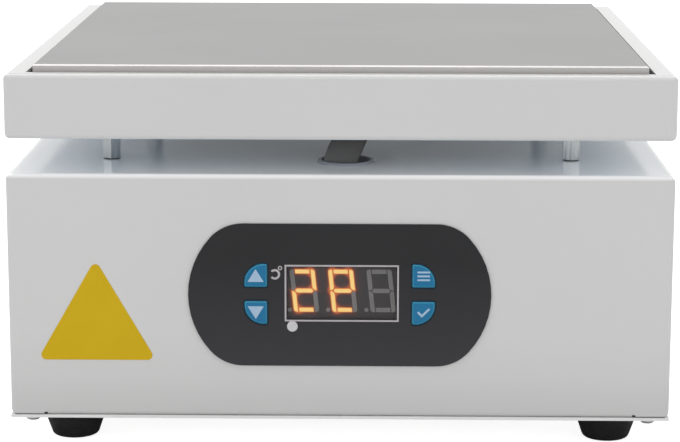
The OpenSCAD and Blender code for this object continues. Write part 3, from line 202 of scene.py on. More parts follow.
# Screws, studs, nuts and strips
# Turned, pressed or rolled steel with bright zinc plating. The strips hold the elements up in
# their grooves, the studs and posts carry the plate.
zinc = finish("bright_zinc_plate", (0.62, 0.64, 0.66), metal=1.0, rough=0.24)
tone(zinc, (0.54, 0.56, 0.585), (0.68, 0.70, 0.71), spot=0.003)
gloss(zinc, smooth=0.18, rough=0.34, spot=0.0008)
dress(zinc, "element_clamps", "clamp_screws", "temperature_probe", "probe_screw", "post_studs",
      "pillar_screws", "pillar_washers", "base_screws", "foot_screws", "hex_nuts",
      "board_screws", "power_screws", "terminal_screws", "inlet_screws")


# Insulating mat
# Pressed ceramic fibre, white and soft, cut out round the posts. It lies on the tray's floor.
mat_fibre = finish("ceramic_fibre", (0.74, 0.73, 0.69), rough=0.95, shine=0.1)
tone(mat_fibre, (0.66, 0.65, 0.60), (0.80, 0.79, 0.75), spot=0.006, stretch=(1, 3, 1))
relief(mat_fibre, depth=0.0003, spot=0.0012, stretch=(1, 4, 1))
dress(mat_fibre, "insulation_mat")


# Tray and control box
# Folded steel sheet, welded and ground at the corners, under a glossy white powder coat with a
# faint orange peel. The tray's inside is painted near black as painted shade. The box stands on
# the base plate.
def powder_coat(name, dark, light, smooth, rough):
    """A glossy coat with broad uneven spots and a fine peel."""
    coat = finish(name, light, rough=rough)
    tone(coat, dark, light, spot=0.06)
    gloss(coat, smooth, rough, spot=0.02)
    relief(coat, depth=0.000012, spot=0.0022, detail=1.5)
    return coat


def reckon(owner, operation, *values):
    """A number worked out from others, each of them a socket or a plain value."""
    nodes, links = tree_of(owner)
    step = nodes.new("ShaderNodeMath")
    step.operation = operation
    for socket, value in zip(step.inputs, values):
        if isinstance(value, float):
            socket.default_value = value
        else:
            links.new(value, socket)
    return step.outputs["Value"]


def place_on(owner, kind="Object"):
    """The X, Y and Z of the place on the piece, as three sockets."""
    place = tree_of(owner)[0].new("ShaderNodeTexCoord")
    return parts_of(owner, place.outputs[kind])


def rise(material, low, high):
    """A share that grows from 0 at one height to 1 at another, in metres."""
    return span(material, place_on(material)["Z"], low, high)


def within(material, node, depth):
    """A share of 1 on the faces that lie deeper than that behind the outer walls of the node."""
    share = 1.0
    for place, low, high in zip(place_on(material), *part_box(node)):
        near = reckon(material, "COMPARE", place, (low + high) / 2, (high - low) / 2 - depth)
        share = reckon(material, "MULTIPLY", share, near)
    return share


white_coat = {
    "dark": (0.70, 0.698, 0.695),
    "light": (0.71, 0.708, 0.705),
    "smooth": 0.08,
    "rough": 0.12,
}
shaded_inside_depth = 0.00085
tray_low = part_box("heat_tray")[0].z
# Painted light: the tray's underside is painted pale blue for the bluish light bounced under it
painted_blue_from, painted_blue_full = tray_low + 0.0005, tray_low + 0.0001
tray_coat = powder_coat("tray_powder_coat", **white_coat)
toward(tray_coat, rise(tray_coat, painted_blue_from, painted_blue_full), (0.80, 0.915, 1.0))
# Painted shade: the faces inside the tray are painted near black
toward(tray_coat, within(tray_coat, "heat_tray", shaded_inside_depth), (0.07, 0.07, 0.07))
dress(tray_coat, "heat_tray")

box_low, box_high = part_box("lower_cover")
box_top = box_high.z
notch_inset = 0.0116
box_coat = powder_coat("box_powder_coat", **white_coat)
# Heights where each tone begins and is full: painted shade at the foot in two steps, then
# painted light on the top
box_painted_shade_and_light = [
    (0.040, 0.022, (0.67, 0.668, 0.665)),
    (0.024, 0.010, (0.60, 0.598, 0.595)),
    (box_top - 0.0016, box_top - 0.0004, (0.96, 0.953, 0.953)),
]
for none_at, full_at, colour in box_painted_shade_and_light:
    toward(box_coat, rise(box_coat, none_at, full_at), colour)
# A painted shadow line marks the hairline seam under the end parts of the box's walls
seam_shadow_top, seam_shadow_low = box_low.z + 0.0006, box_low.z + 0.0003
from_middle = reckon(box_coat, "ABSOLUTE", place_on(box_coat)["X"])
end_parts = reckon(box_coat, "GREATER_THAN", from_middle, box_high.x - notch_inset)
seam_shadow = reckon(box_coat, "MULTIPLY", end_parts, rise(box_coat, seam_shadow_top, seam_shadow_low))
toward(box_coat, seam_shadow, (0.16, 0.158, 0.155))
dress(box_coat, "lower_cover")

base_coat = powder_coat("base_powder_coat", dark=(0.82, 0.82, 0.815), light=(0.84, 0.84, 0.835),
                        smooth=0.25, rough=0.35)
dress(base_coat, "base_plate")


# Cable rings
# Two rings of glossy grey rubber, clipped into the holes of the box's top and the tray's floor.
ring_rubber = finish("grey_ring_rubber", (0.34, 0.35, 0.39), rough=0.2)
tone(ring_rubber, (0.33, 0.34, 0.38), (0.35, 0.36, 0.40), spot=0.002)
gloss(ring_rubber, smooth=0.16, rough=0.24, spot=0.0008)
dress(ring_rubber, "cable_grommets")


# Sleeve round the heater leads
# A flat sleeve of braided glass fibre with a dark varnish. It leaves the lower ring and leans to
# the right as it rises to the ring in the tray.
def arc(x, z, r, start, end, steps):
    """Points of an arc, with its angles in degrees."""
    turns = [math.radians(start + (end - start) * i / steps) for i in range(steps + 1)]
    return [(x + r * math.cos(a), z + r * math.sin(a)) for a in turns]


quarters = ((1, 1), (-1, 1), (-1, -1), (1, -1))


def rounded(width, height, r, steps):
    """Outline of a rectangle with rounded corners, round the middle."""
    outline = []
    for k, (sx, sz) in enumerate(quarters):
        corner = (sx * (width / 2 - r), sz * (height / 2 - r))
        outline += arc(*corner, r, 90 * k, 90 * k + 90, steps)
    return outline


def along(points, steps):
    """A smooth curve through the points."""
    ends = [points[0]] + points + [points[-1]]
    curve = []
    for a, b, c, d in zip(ends, ends[1:], ends[2:], ends[3:]):
        for k in range(steps):
            t = k / steps
            curve.append(0.5 * (2 * b + (c - a) * t + (2 * a - 5 * b + 4 * c - d) * t ** 2
                                + (3 * b - 3 * c + d - a) * t ** 3))
    return curve + [points[-1]]


def bridge(mesh, a, b):
    """Faces between two closed loops with as many points each."""
    return [mesh.faces.new(corners) for corners in zip(a, a[1:] + a[:1], b[1:] + b[:1], b)]


def piece(name, mesh, material, body="chassis"):
    """Makes a bmesh into a named piece that rides on a body."""
    mesh.normal_update()
    data = bpy.data.meshes.new(name)
    mesh.to_mesh(data)
    mesh.free()
    data.materials.append(material)
    made = bpy.data.objects.new(name, data)
    bpy.context.collection.objects.link(made)
    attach(made, body)
    return made


def smooth_sides(made, limit):
    """Shades as round every edge that bends less than limit, in degrees."""
    for face in made.data.polygons:
        face.use_smooth = True
    made.data.set_sharp_from_angle(angle=math.radians(limit))


rings_low, rings_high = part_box("cable_grommets")
ring_r = 0.0097
sleeve_low, sleeve_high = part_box("lead_sleeve")
sleeve_w = 0.011
sleeve_t = 0.004
sleeve_r = 0.0012
sleeve_upright = 0.006
sleeve_shift = 0.0024
sleeve_foot_x = rings_low.x + ring_r - sleeve_shift
sleeve_top_x = rings_high.x - ring_r
sleeve_y = (sleeve_low.y + sleeve_high.y) / 2
sheet_t = 0.0012
sleeve_bends = [(sleeve_foot_x, sleeve_low.z), (sleeve_foot_x, sleeve_low.z + sleeve_upright),
                (sleeve_foot_x, box_top - sheet_t), (sleeve_top_x, tray_low + sheet_t),
                (sleeve_top_x, sleeve_high.z)]
sleeve_path = along([Vector((x, sleeve_y, z)) for x, z in sleeve_bends], steps=10)
sleeve_ring = rounded(sleeve_w, sleeve_t, sleeve_r, steps=5)
slack_share, slack_turn = 0.015, 0.9
mesh = bmesh.new()
weave = mesh.loops.layers.uv.new("weave")
rows = []
for i, point in enumerate(sleeve_path):
    ahead = sleeve_path[min(i + 1, len(sleeve_path) - 1)] - sleeve_path[max(i - 1, 0)]
    across = Vector((0, 1, 0)).cross(ahead.normalized()).normalized()
    slack = 1 + slack_share * math.sin(i * slack_turn)
    rows.append([mesh.verts.new(point + across * x * slack + Vector((0, y * (2 - slack), 0)))
                 for x, y in sleeve_ring])
for i, (row, higher) in enumerate(zip(rows, rows[1:])):
    for k, wall in enumerate(bridge(mesh, row, higher)):
        for loop, (u, v) in zip(wall.loops, [(k, i), (k + 1, i), (k + 1, i + 1), (k, i + 1)]):
            loop[weave].uv = (u / len(sleeve_ring), v / len(rows))
mesh.faces.new(list(reversed(rows[0])))
mesh.faces.new(rows[-1])
bmesh.ops.recalc_face_normals(mesh, faces=mesh.faces)

braid = finish("varnished_glass_braid", (0.08, 0.077, 0.075), rough=0.55, shine=0.3)
tone(braid, (0.073, 0.070, 0.068), (0.087, 0.084, 0.082), spot=0.0012)
# Painted light: the sleeve's foot is painted paler, as if lit by light off the box's top
reflected_light_h = 0.009
toward(braid, rise(braid, box_top + reflected_light_h, box_top), (0.20, 0.197, 0.19))
strand_scale, strand_bend, strand_stretch, strand_turn = 9.0, 0.4, 1.15, math.radians(45)
nodes, links = tree_of(braid)
weave_place = nodes.new("ShaderNodeUVMap")
weave_place.uv_map = "weave"
strands = []
for turn in (1, -1):
    lay = nodes.new("ShaderNodeMapping")
    lay.inputs["Rotation"].default_value = (0, 0, turn * strand_turn)
    lay.inputs["Scale"].default_value = (1, strand_stretch, 1)
    bands = nodes.new("ShaderNodeTexWave")
    bands.inputs["Scale"].default_value = strand_scale
    bands.inputs["Distortion"].default_value = strand_bend
    links.new(weave_place.outputs["UV"], lay.inputs["Vector"])
    links.new(lay.outputs["Vector"], bands.inputs["Vector"])
    strands.append(bands.outputs["Fac"])
dent(braid, reckon(braid, "MAXIMUM", *strands), depth=0.00005)
sleeve = piece("braided_sleeve", mesh, braid)
smooth_sides(sleeve, limit=50)
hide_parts("lead_sleeve")


# Hex pillars
# Four lengths of drawn hexagonal steel bar, nickel plated, with a bore for the screws. Both ends
# are turned to a chamfer, painted near black as painted shade for a fine dark line at the foot of
# each. One flat of one pillar is painted dark blue-grey as a painted reflection.
pillar_af = 0.0055
pillar_bore_r = 0.00155
pillar_end_r = 0.00258
chamfer_slope = 1.75
chamfer_t = 0.00036
pillars_low, pillars_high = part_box("hex_pillars")
pillar_x = (pillars_high.x - pillars_low.x - pillar_af) / 2
pillar_y = (pillars_high.y - pillars_low.y - pillar_af / math.cos(math.pi / 6)) / 2
pillars_at = (pillars_low + pillars_high) / 2
hex_steps = 48
shaded_end_bands = (0, 1, 2, 4, 5, 6)
shaded_end_slot, reflection_slot = 1, 2
reflection_pillar = (-1, -1)
reflection_from, reflection_to = 270, 330


def hex_section(end_gap):
    """Radius of the bar at each angle, that far from its nearer end."""
    radii = []
    for k in range(hex_steps):
        off_flat = math.radians((k * 360 / hex_steps + 30) % 60 - 30)
        bar_r = pillar_af / 2 / math.cos(off_flat)
        radii.append(min(bar_r, pillar_end_r + end_gap * chamfer_slope))
    return radii


mesh = bmesh.new()
ends = [0, chamfer_t / 4, chamfer_t / 2, chamfer_t]
for sx, sy in quarters:
    centre = Vector((sx * pillar_x, pillars_at.y + sy * pillar_y, 0))
    levels = [(pillars_low.z + gap, hex_section(gap)) for gap in ends]
    levels += [(pillars_high.z - gap, hex_section(gap)) for gap in reversed(ends)]
    levels += [(z, [pillar_bore_r] * hex_steps) for z in (pillars_high.z, pillars_low.z)]
    loops = []
    for z, radii in levels:
        turns = [2 * math.pi * k / hex_steps for k in range(hex_steps)]
        loops.append([mesh.verts.new(centre + Vector((r * math.cos(a), r * math.sin(a), z)))
                      for r, a in zip(radii, turns)])
    for i, (a, b) in enumerate(zip(loops, loops[1:] + loops[:1])):
        for k, face in enumerate(bridge(mesh, a, b)):
            if i in shaded_end_bands:
                face.material_index = shaded_end_slot
            elif (sx, sy) == reflection_pillar and reflection_from <= k * 360 / hex_steps < reflection_to:
                face.material_index = reflection_slot
bmesh.ops.recalc_face_normals(mesh, faces=mesh.faces)

drawn_bar = finish("drawn_nickel_bar", (0.56, 0.58, 0.59), metal=1.0, rough=0.12)
tone(drawn_bar, (0.50, 0.53, 0.55), (0.62, 0.64, 0.65), spot=0.0009, stretch=(1, 1, 30))
gloss(drawn_bar, smooth=0.08, rough=0.16, spot=0.0005, stretch=(1, 1, 40))
relief(drawn_bar, depth=0.000001, spot=0.0004, stretch=(1, 1, 60))
# Painted shade: the chamfered ends are painted near black
shaded_end = finish("pillar_end_painted_shade", (0.03, 0.03, 0.032), metal=1.0, rough=0.4)
tone(shaded_end, (0.025, 0.025, 0.027), (0.035, 0.035, 0.037), spot=0.0005)
# Painted reflection: one flat of one pillar is painted dark blue-grey
dark_reflection_bar = finish("nickel_bar_painted_reflection", (0.25, 0.29, 0.33), metal=1.0, rough=0.2)
tone(dark_reflection_bar, (0.21, 0.25, 0.28), (0.28, 0.32, 0.35), spot=0.0009, stretch=(1, 1, 30))
pillars = piece("chamfered_hex_pillars", mesh, drawn_bar)
pillars.data.materials.append(shaded_end)
pillars.data.materials.append(dark_reflection_bar)
smooth_sides(pillars, limit=20)
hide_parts("hex_pillars")


# Leads
# Glass-braided heater leads, PVC mains leads with a crimped earth lug, and a grey flat cable
# between the two boards. None of them shows unless the box or the tray is open.
lead_braid = finish("lead_braid", (0.66, 0.63, 0.55), rough=0.8, shine=0.2)
tone(lead_braid, (0.56, 0.53, 0.46), (0.74, 0.71, 0.63), spot=0.0008)
dress(lead_braid, "tray_leads", "heater_leads")
mains_pvc = finish("mains_pvc", (0.14, 0.05, 0.025), rough=0.35)
tone(mains_pvc, (0.12, 0.042, 0.02), (0.16, 0.06, 0.03), spot=0.004)
dress(mains_pvc, "mains_leads")
flat_cable = finish("grey_flat_cable", (0.33, 0.33, 0.34), rough=0.45)
tone(flat_cable, (0.26, 0.26, 0.27), (0.40, 0.40, 0.41), spot=0.00127, stretch=(1, 60, 60))
dress(flat_cable, "ribbon_cable")


# Feet
# Black rubber, tapered and rounded at the lower edge, each held by one screw in its recess.
foot_rubber = finish("black_foot_rubber", (0.009, 0.009, 0.009), rough=0.55, shine=0.35)
tone(foot_rubber, (0.007, 0.007, 0.007), (0.011, 0.011, 0.011), spot=0.004)
gloss(foot_rubber, smooth=0.45, rough=0.65, spot=0.0015)
relief(foot_rubber, depth=0.00001, spot=0.0005)
dress(foot_rubber, "rubber_feet")


# Control panel
# A near-black printed film with bowed ends, glued over the openings in the front wall. Its fine
# texture takes the shine off. The display's frame and the unit mark are printed in pale grey.
panel_low, panel_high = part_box("control_panel")
reflection_free_band = 0.012
film = finish("black_overlay_film", (0.016, 0.0165, 0.0185), rough=0.38, shine=0.35)
tone(film, (0.015, 0.0155, 0.0175), (0.018, 0.0185, 0.0205), spot=0.03)
# Painted reflection: the film is painted paler from below its top band down to its foot
toward(film, rise(film, panel_high.z - reflection_free_band, panel_low.z), (0.036, 0.0365, 0.042))
gloss(film, smooth=0.32, rough=0.46, spot=0.0006)
relief(film, depth=0.000006, spot=0.00045, detail=1.0)
dress(film, "control_panel")

print_t = 0.00004
print_face = panel_low.y - print_t
window_low, window_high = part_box("display_window")
display_x = (window_low.x + window_high.x) / 2
display_z = (window_low.z + window_high.z) / 2


def on_face(x, z, y):
    """A point on a layer that faces the front."""
    return Vector((x, y, z))


def print_plate(outline, y, thickness, mesh=None):
    """A thin layer with this outline in X and Z, whose front is at y."""
    mesh = mesh or bmesh.new()
    front = [mesh.verts.new(on_face(x, z, y)) for x, z in outline]
    back = [mesh.verts.new(on_face(x, z, y + thickness)) for x, z in outline]
    mesh.faces.new(front)
    mesh.faces.new(list(reversed(back)))
    bridge(mesh, back, front)
    bmesh.ops.recalc_face_normals(mesh, faces=mesh.faces)
    return mesh


def print_ring(outer, inner, y, thickness, mesh=None):
    """A thin band between two outlines with as many points each."""
    mesh = mesh or bmesh.new()
    back = y + thickness
    loops = [[mesh.verts.new(on_face(x, z, level)) for x, z in outline]
             for outline, level in ((outer, y), (inner, y), (inner, back), (outer, back))]
    for a, b in zip(loops, loops[1:] + loops[:1]):
        bridge(mesh, a, b)
    bmesh.ops.recalc_face_normals(mesh, faces=mesh.faces)
    return mesh


def shifted(outline, x, z):
    """The outline moved along X and Z."""
    return [(px + x, pz + z) for px, pz in outline]


pale_ink = finish("pale_grey_ink", (0.50, 0.47, 0.485), rough=0.4)
tone(pale_ink, (0.46, 0.435, 0.45), (0.54, 0.51, 0.525), spot=0.003)

frame_w, frame_h = 0.0374, 0.0190
frame_line = 0.00054


def upright_box(width, height):
    """Corners of a rectangle round the display's middle."""
    return [(display_x + sx * width / 2, display_z + sz * height / 2) for sx, sz in quarters]


frame_band = print_ring(upright_box(frame_w, frame_h),
                        upright_box(frame_w - 2 * frame_line, frame_h - 2 * frame_line),
                        print_face, print_t)
piece("printed_display_frame", frame_band, pale_ink)

letter_at = (display_x - 0.0219, display_z + 0.0063)
letter_r, letter_line, letter_open = 0.00175, 0.0007, 140
degree_at = (display_x - 0.0202, display_z + 0.0084)
degree_outer, degree_inner = (arc(*degree_at, r, 0, 345, 23) for r in (0.00072, 0.00038))
letter = (arc(*letter_at, letter_r, -letter_open, letter_open, 24)
          + arc(*letter_at, letter_r - letter_line, letter_open, -letter_open, 24))
mesh = print_plate(letter, print_face, print_t)
print_ring(degree_outer, degree_inner, print_face, print_t, mesh)
piece("printed_unit_mark", mesh, pale_ink)


# Display
# A three-digit module behind a smoked window. Two digits glow yellow-orange, and their red haze
# on the module's dark face is painted light on a glowing sheet. The other bars stay dull grey.
module_black = finish("display_module_face", (0.092, 0.088, 0.088), rough=0.5)
tone(module_black, (0.088, 0.084, 0.084), (0.096, 0.092, 0.092), spot=0.004)
dress(module_black, "display_module")


on_front = 0.000001


def bars_of(node):
    """Outline in X and Z of each bar, from the faces at the front of the CAD node."""
    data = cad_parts[node].data
    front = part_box(node)[0].y
    faces = [[data.vertices[i].co for i in face.vertices] for face in data.polygons]
    faces = [[(round(p.x, 6), round(p.z, 6)) for p in face] for face in faces
             if all(abs(p.y - front) < on_front for p in face)]
    groups = []
    for face in faces:
        joined = [g for g in groups if g & set(face)]
        groups = [g for g in groups if not g & set(face)] + [set(face).union(*joined)]
    outlines = []
    for group in groups:
        cx = sum(p[0] for p in group) / len(group)
        cz = sum(p[1] for p in group) / len(group)
        outlines.append(sorted(group, key=lambda p: math.atan2(p[1] - cz, p[0] - cx)))
    return outlines


def gap_to(bar, x, z):
    """Distance from a point to a convex bar, 0 inside it."""
    nearest = 1.0
    inside = True
    for (ax, az), (bx, bz) in zip(bar, bar[1:] + bar[:1]):
        ex, ez = bx - ax, bz - az
        t = max(0.0, min(1.0, ((x - ax) * ex + (z - az) * ez) / (ex * ex + ez * ez)))
        nearest = min(nearest, math.hypot(ax + t * ex - x, az + t * ez - z))
        inside = inside and ex * (z - az) - ez * (x - ax) >= 0
    return 0.0 if inside else nearest


bars = bars_of("lit_segments")
segment_low, segment_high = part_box("lit_segments")
bar_setback = 0.00005
bar_front = segment_low.y + bar_setback
haze_reach = 0.0024
haze_pitch = 0.0003
haze_lift = 0.00006
haze_y = segment_high.y - haze_lift
haze_margin = 0.0016
haze_w = window_high.x - window_low.x - haze_margin
haze_h = window_high.z - window_low.z - haze_margin
across, up = round(haze_w / haze_pitch), round(haze_h / haze_pitch)
mesh = bmesh.new()
haze_level = mesh.verts.layers.float.new("painted_glow")
grid = []
for j in range(up + 1):
    row = []
    for i in range(across + 1):
        x = display_x + haze_w * (i / across - 0.5)
        z = display_z + haze_h * (j / up - 0.5)
        spot = mesh.verts.new(on_face(x, z, haze_y))
        gaps = [gap_to(bar, x, z) for bar in bars]
        spot[haze_level] = min(1.0, sum(max(0.0, 1 - gap / haze_reach) ** 2 for gap in gaps))
        row.append(spot)
    grid.append(row)
for j in range(up):
    for i in range(across):
        mesh.faces.new([grid[j][i], grid[j][i + 1], grid[j + 1][i + 1], grid[j + 1][i]])


def shaded_by(material, socket, name, *stops):
    """The number that the mesh keeps at its points under that name picks the colour."""
    level = tree_of(material)[0].new("ShaderNodeAttribute")
    level.attribute_name = name
    steer(material, socket, shades(material, level.outputs["Fac"], stops))


# Painted light: an emitting sheet paints the digits' red haze on the module's face
painted_glow = finish("painted_red_glow", (0.092, 0.088, 0.088), rough=0.5)
shaded_by(painted_glow, "Emission Color", "painted_glow", (0, (0, 0, 0)), (0.45, (0.07, 0.003, 0)),
          (0.75, (0.19, 0.018, 0.002)), (1, (0.75, 0.14, 0.02)))
shader_of(painted_glow).inputs["Emission Strength"].default_value = 0.8
piece("display_painted_glow", mesh, painted_glow)

core_inset = 0.00026
least_turn = 0.3


def bar_mesh(outlines):
    """The bars as solids, whose front has a rim and a core."""
    mesh = bmesh.new()
    core_level = mesh.verts.layers.float.new("core")
    for bar in outlines:
        rim, core, back = [], [], []
        for k, (x, z) in enumerate(bar):
            (ax, az), (bx, bz) = bar[k - 1], bar[(k + 1) % len(bar)]
            before = Vector((x - ax, z - az)).normalized()
            after = Vector((bx - x, bz - z)).normalized()
            inward = Vector((-before.y - after.y, before.x + after.x))
            inward = inward * core_inset / max(least_turn, inward.length_squared / 2)
            rim.append(mesh.verts.new(on_face(x, z, bar_front)))
            core.append(mesh.verts.new(on_face(x + inward.x, z + inward.y, bar_front)))
            back.append(mesh.verts.new(on_face(x, z, segment_high.y)))
        for spot in core:
            spot[core_level] = 1.0
        bridge(mesh, rim, core)
        bridge(mesh, back, rim)
        mesh.faces.new(core)
        mesh.faces.new(list(reversed(back)))
    bmesh.ops.recalc_face_normals(mesh, faces=mesh.faces)
    return mesh


dull_bar = finish("dull_display_bar", (0.45, 0.445, 0.44), rough=0.45)
tone(dull_bar, (0.43, 0.425, 0.42), (0.47, 0.465, 0.46), spot=0.003)
dull = piece("dull_bars", bar_mesh(bars_of("unlit_segments")), dull_bar)
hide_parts("unlit_segments")

glow = finish("glowing_bar", (0.5, 0.2, 0.05), rough=0.4)
shaded_by(glow, "Emission Color", "core", (0, (1.0, 0.25, 0.03)), (1, (1.0, 0.79, 0.28)))
shader_of(glow).inputs["Emission Strength"].default_value = 1.15
lit = piece("glowing_bars", bar_mesh(bars), glow)
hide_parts("lit_segments")

smoked = finish("smoked_window", (0.05, 0.045, 0.046), rough=0.2)
shader_of(smoked).inputs["Alpha"].default_value = 0.22
gloss(smoked, smooth=0.16, rough=0.24, spot=0.004)
dress(smoked, "display_window")


# Output lamp
# A clear pale rod that carries the light of the board's lamp to the overlay, with a printed
# disc round its end that runs up to the display's frame.
lens = finish("lamp_lens", (0.66, 0.65, 0.66), rough=0.25)
tone(lens, (0.62, 0.61, 0.62), (0.70, 0.69, 0.70), spot=0.001)
dress(lens, "output_lamp")
lamp_low, lamp_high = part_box("output_lamp")
lamp_x = (lamp_low.x + lamp_high.x) / 2
disc_r = 0.00175
disc_drop = 0.0112
disc_z = display_z - disc_drop
disc_top = display_z - frame_h / 2
disc = [(x, min(z, disc_top)) for x, z in arc(lamp_x, disc_z, disc_r, 0, 354, 59)]
piece("printed_lamp_disc", print_plate(disc, print_face, print_t), lens)


# Keys
# Four moulded caps in windows of the film, each round at its outer corner, in blue with a rim
# painted lighter as a painted highlight. The left pair carries arrows, the right pair three lines
# and a tick, all in pale ink.
key_w, key_h = 0.00728, 0.00752
key_r = 0.0062
small_r = 0.0004
key_low, key_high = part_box("key_up")
key_setback = 0.00005
key_face = key_low.y + key_setback
key_print_face = key_face - print_t
lip = 0.0006
lip_t = 0.0008
lip_front = key_high.y - lip_t
least_r, least_small_r = 0.0001, 0.00005
core_grow = -0.0004
face_bend = [(0, 0.0003), (-0.00006, 0.00012), (-0.00018, 0.00003), (core_grow, 0)]
border_out, border_in = 0.00062, 0.00027
round_steps, corner_steps = 14, 4


def key_outline(side, grow):
    """Outline of a key with one large round corner, on the outer side, grown or shrunk."""
    w, h = key_w / 2 + grow, key_h / 2 + grow
    r, s = max(key_r + grow, least_r), max(small_r + grow, least_small_r)
    points = arc(w - r, h - r, r, 0, 90, round_steps)
    points += arc(s - w, h - s, s, 90, 180, corner_steps)
    points += arc(s - w, s - h, s, 180, 270, corner_steps)
    points += arc(w - s, s - h, s, 270, 360, corner_steps)
    return [(side[0] * x, side[1] * z) for x, z in points]


def key_cap(side, centre):
    """Lofts the cap from its lip at the back to its slightly domed face."""
    levels = [(lip, key_high.y), (lip, lip_front), (0, lip_front)]
    levels += [(grow, key_face + back) for grow, back in face_bend]
    mesh = bmesh.new()
    rim_highlight_level = mesh.verts.layers.float.new("rim")
    loops = []
    for grow, y in levels:
        loop = []
        for x, z in shifted(key_outline(side, grow), *centre):
            spot = mesh.verts.new(on_face(x, z, y))
            spot[rim_highlight_level] = 0.0 if grow == core_grow else 1.0
            loop.append(spot)
        loops.append(loop)
    for a, b in zip(loops, loops[1:]):
        bridge(mesh, a, b)
    mesh.faces.new(loops[0])
    mesh.faces.new(loops[-1])
    bmesh.ops.recalc_face_normals(mesh, faces=mesh.faces)
    return mesh


key_blue = finish("key_blue", (0.006, 0.17, 0.33), rough=0.34, shine=0.3)
# Painted highlight: the cap's rim is painted lighter blue than its core
shaded_by(key_blue, "Base Color", "rim", (0, (0.010, 0.175, 0.355)), (1, (0.045, 0.31, 0.48)))
gloss(key_blue, smooth=0.30, rough=0.40, spot=0.0008)

key_ink = finish("key_ink", (0.40, 0.55, 0.72), rough=0.4)
tone(key_ink, (0.37, 0.53, 0.71), (0.43, 0.57, 0.73), spot=0.002)
navy_ink = finish("navy_ink", (0.006, 0.016, 0.032), rough=0.45, shine=0.3)
tone(navy_ink, (0.005, 0.014, 0.029), (0.007, 0.018, 0.035), spot=0.002)
arrow_w, arrow_h = 0.0053, 0.0043


def arrow(up):
    """A triangle that points up for 1 and down for -1."""
    foot = -up * arrow_h / 2
    return [(-arrow_w / 2, foot), (arrow_w / 2, foot), (0, -foot)]


line_w, line_t, line_gap = 0.0042, 0.0006, 0.0013
line_r = line_t * 0.45
lines = [shifted(rounded(line_w, line_t, line_r, steps=3), 0, k * line_gap) for k in (-1, 0, 1)]
tick = [(-0.0021, 0.0002), (-0.0016, 0.0007), (-0.0005, -0.0004), (0.0017, 0.0018),
        (0.0022, 0.0013), (-0.0005, -0.0014)]
key_marks = {
    "up": ((-1, 1), [arrow(1)]),
    "down": ((-1, -1), [arrow(-1)]),
    "set": ((1, 1), lines),
    "enter": ((1, -1), [tick]),
}
for name, (side, marks) in key_marks.items():
    low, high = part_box("key_" + name)
    centre = ((low.x + high.x) / 2, (low.z + high.z) / 2)
    cap = piece("cap_" + name, key_cap(side, centre), key_blue, body=name + "_key")
    smooth_sides(cap, limit=40)
    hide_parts("key_" + name)
    mesh = bmesh.new()
    for mark in marks:
        print_plate(shifted(mark, *centre), key_print_face, print_t, mesh)
    piece("mark_" + name, mesh, key_ink, body=name + "_key")
    outer, inner = (shifted(key_outline(side, grow), *centre) for grow in (border_out, border_in))
    border = print_ring(outer, inner, print_face, print_t)
    piece("printed_border_" + name, border, navy_ink)


# Boards behind the panel and on the base plate
# Green fibreglass boards on brass spacers, with moulded switches, a green terminal block, a
# lacquered transformer and a black triac on its extruded heatsink.
board_mask = finish("green_solder_mask", (0.02, 0.12, 0.05), rough=0.35)
tone(board_mask, (0.015, 0.10, 0.04), (0.03, 0.15, 0.065), spot=0.003, stretch=(4, 1, 1))
dress(board_mask, "control_board", "power_board")
block_green = finish("terminal_green", (0.03, 0.16, 0.08), rough=0.5)
tone(block_green, (0.025, 0.14, 0.07), (0.04, 0.19, 0.10), spot=0.004)
dress(block_green, "terminal_block")
switch_black = finish("moulded_black", (0.02, 0.02, 0.021), rough=0.5)
tone(switch_black, (0.016, 0.016, 0.017), (0.027, 0.027, 0.028), spot=0.002)
dress(switch_black, "plunger_up", "plunger_down", "plunger_set", "plunger_enter",
      "key_switches", "triac", "control_parts")
brass = finish("turned_brass", (0.62, 0.44, 0.17), metal=1.0, rough=0.3)
gloss(brass, smooth=0.2, rough=0.4, spot=0.0005, stretch=(1, 1, 20))
dress(brass, "board_spacers", "power_spacers", "earth_stud")
lacquered_iron = finish("lacquered_core", (0.10, 0.10, 0.105), metal=0.4, rough=0.45)
tone(lacquered_iron, (0.07, 0.07, 0.075), (0.14, 0.14, 0.145), spot=0.0006, stretch=(1, 60, 60))
dress(lacquered_iron, "transformer")
extruded = finish("extruded_aluminium", (0.48, 0.49, 0.51), metal=1.0, rough=0.4)
gloss(extruded, smooth=0.32, rough=0.5, spot=0.0004, stretch=(1, 1, 40))
dress(extruded, "heatsink")


# Mains inlet
# One black moulded housing with the socket, the fuse drawer and the red rocker switch. It sits
# in a cut-out of the rear wall, held by two countersunk screws.
moulded = finish("inlet_moulding", (0.018, 0.018, 0.018), rough=0.42)
tone(moulded, (0.015, 0.015, 0.015), (0.022, 0.022, 0.022), spot=0.02)
gloss(moulded, smooth=0.36, rough=0.5, spot=0.0005)
relief(moulded, depth=0.000008, spot=0.0004, detail=1.0)
dress(moulded, "inlet_housing", "fuse_drawer")
blade_plate = finish("nickel_blade", (0.70, 0.69, 0.66), metal=1.0, rough=0.2)
gloss(blade_plate, smooth=0.14, rough=0.28, spot=0.001)
dress(blade_plate, "inlet_pins", "fuse")
rocker_red = finish("rocker_red", (0.42, 0.015, 0.012), rough=0.28)
tone(rocker_red, (0.38, 0.012, 0.010), (0.46, 0.019, 0.015), spot=0.006)
gloss(rocker_red, smooth=0.24, rough=0.34, spot=0.0006)
dress(rocker_red, "rocker")


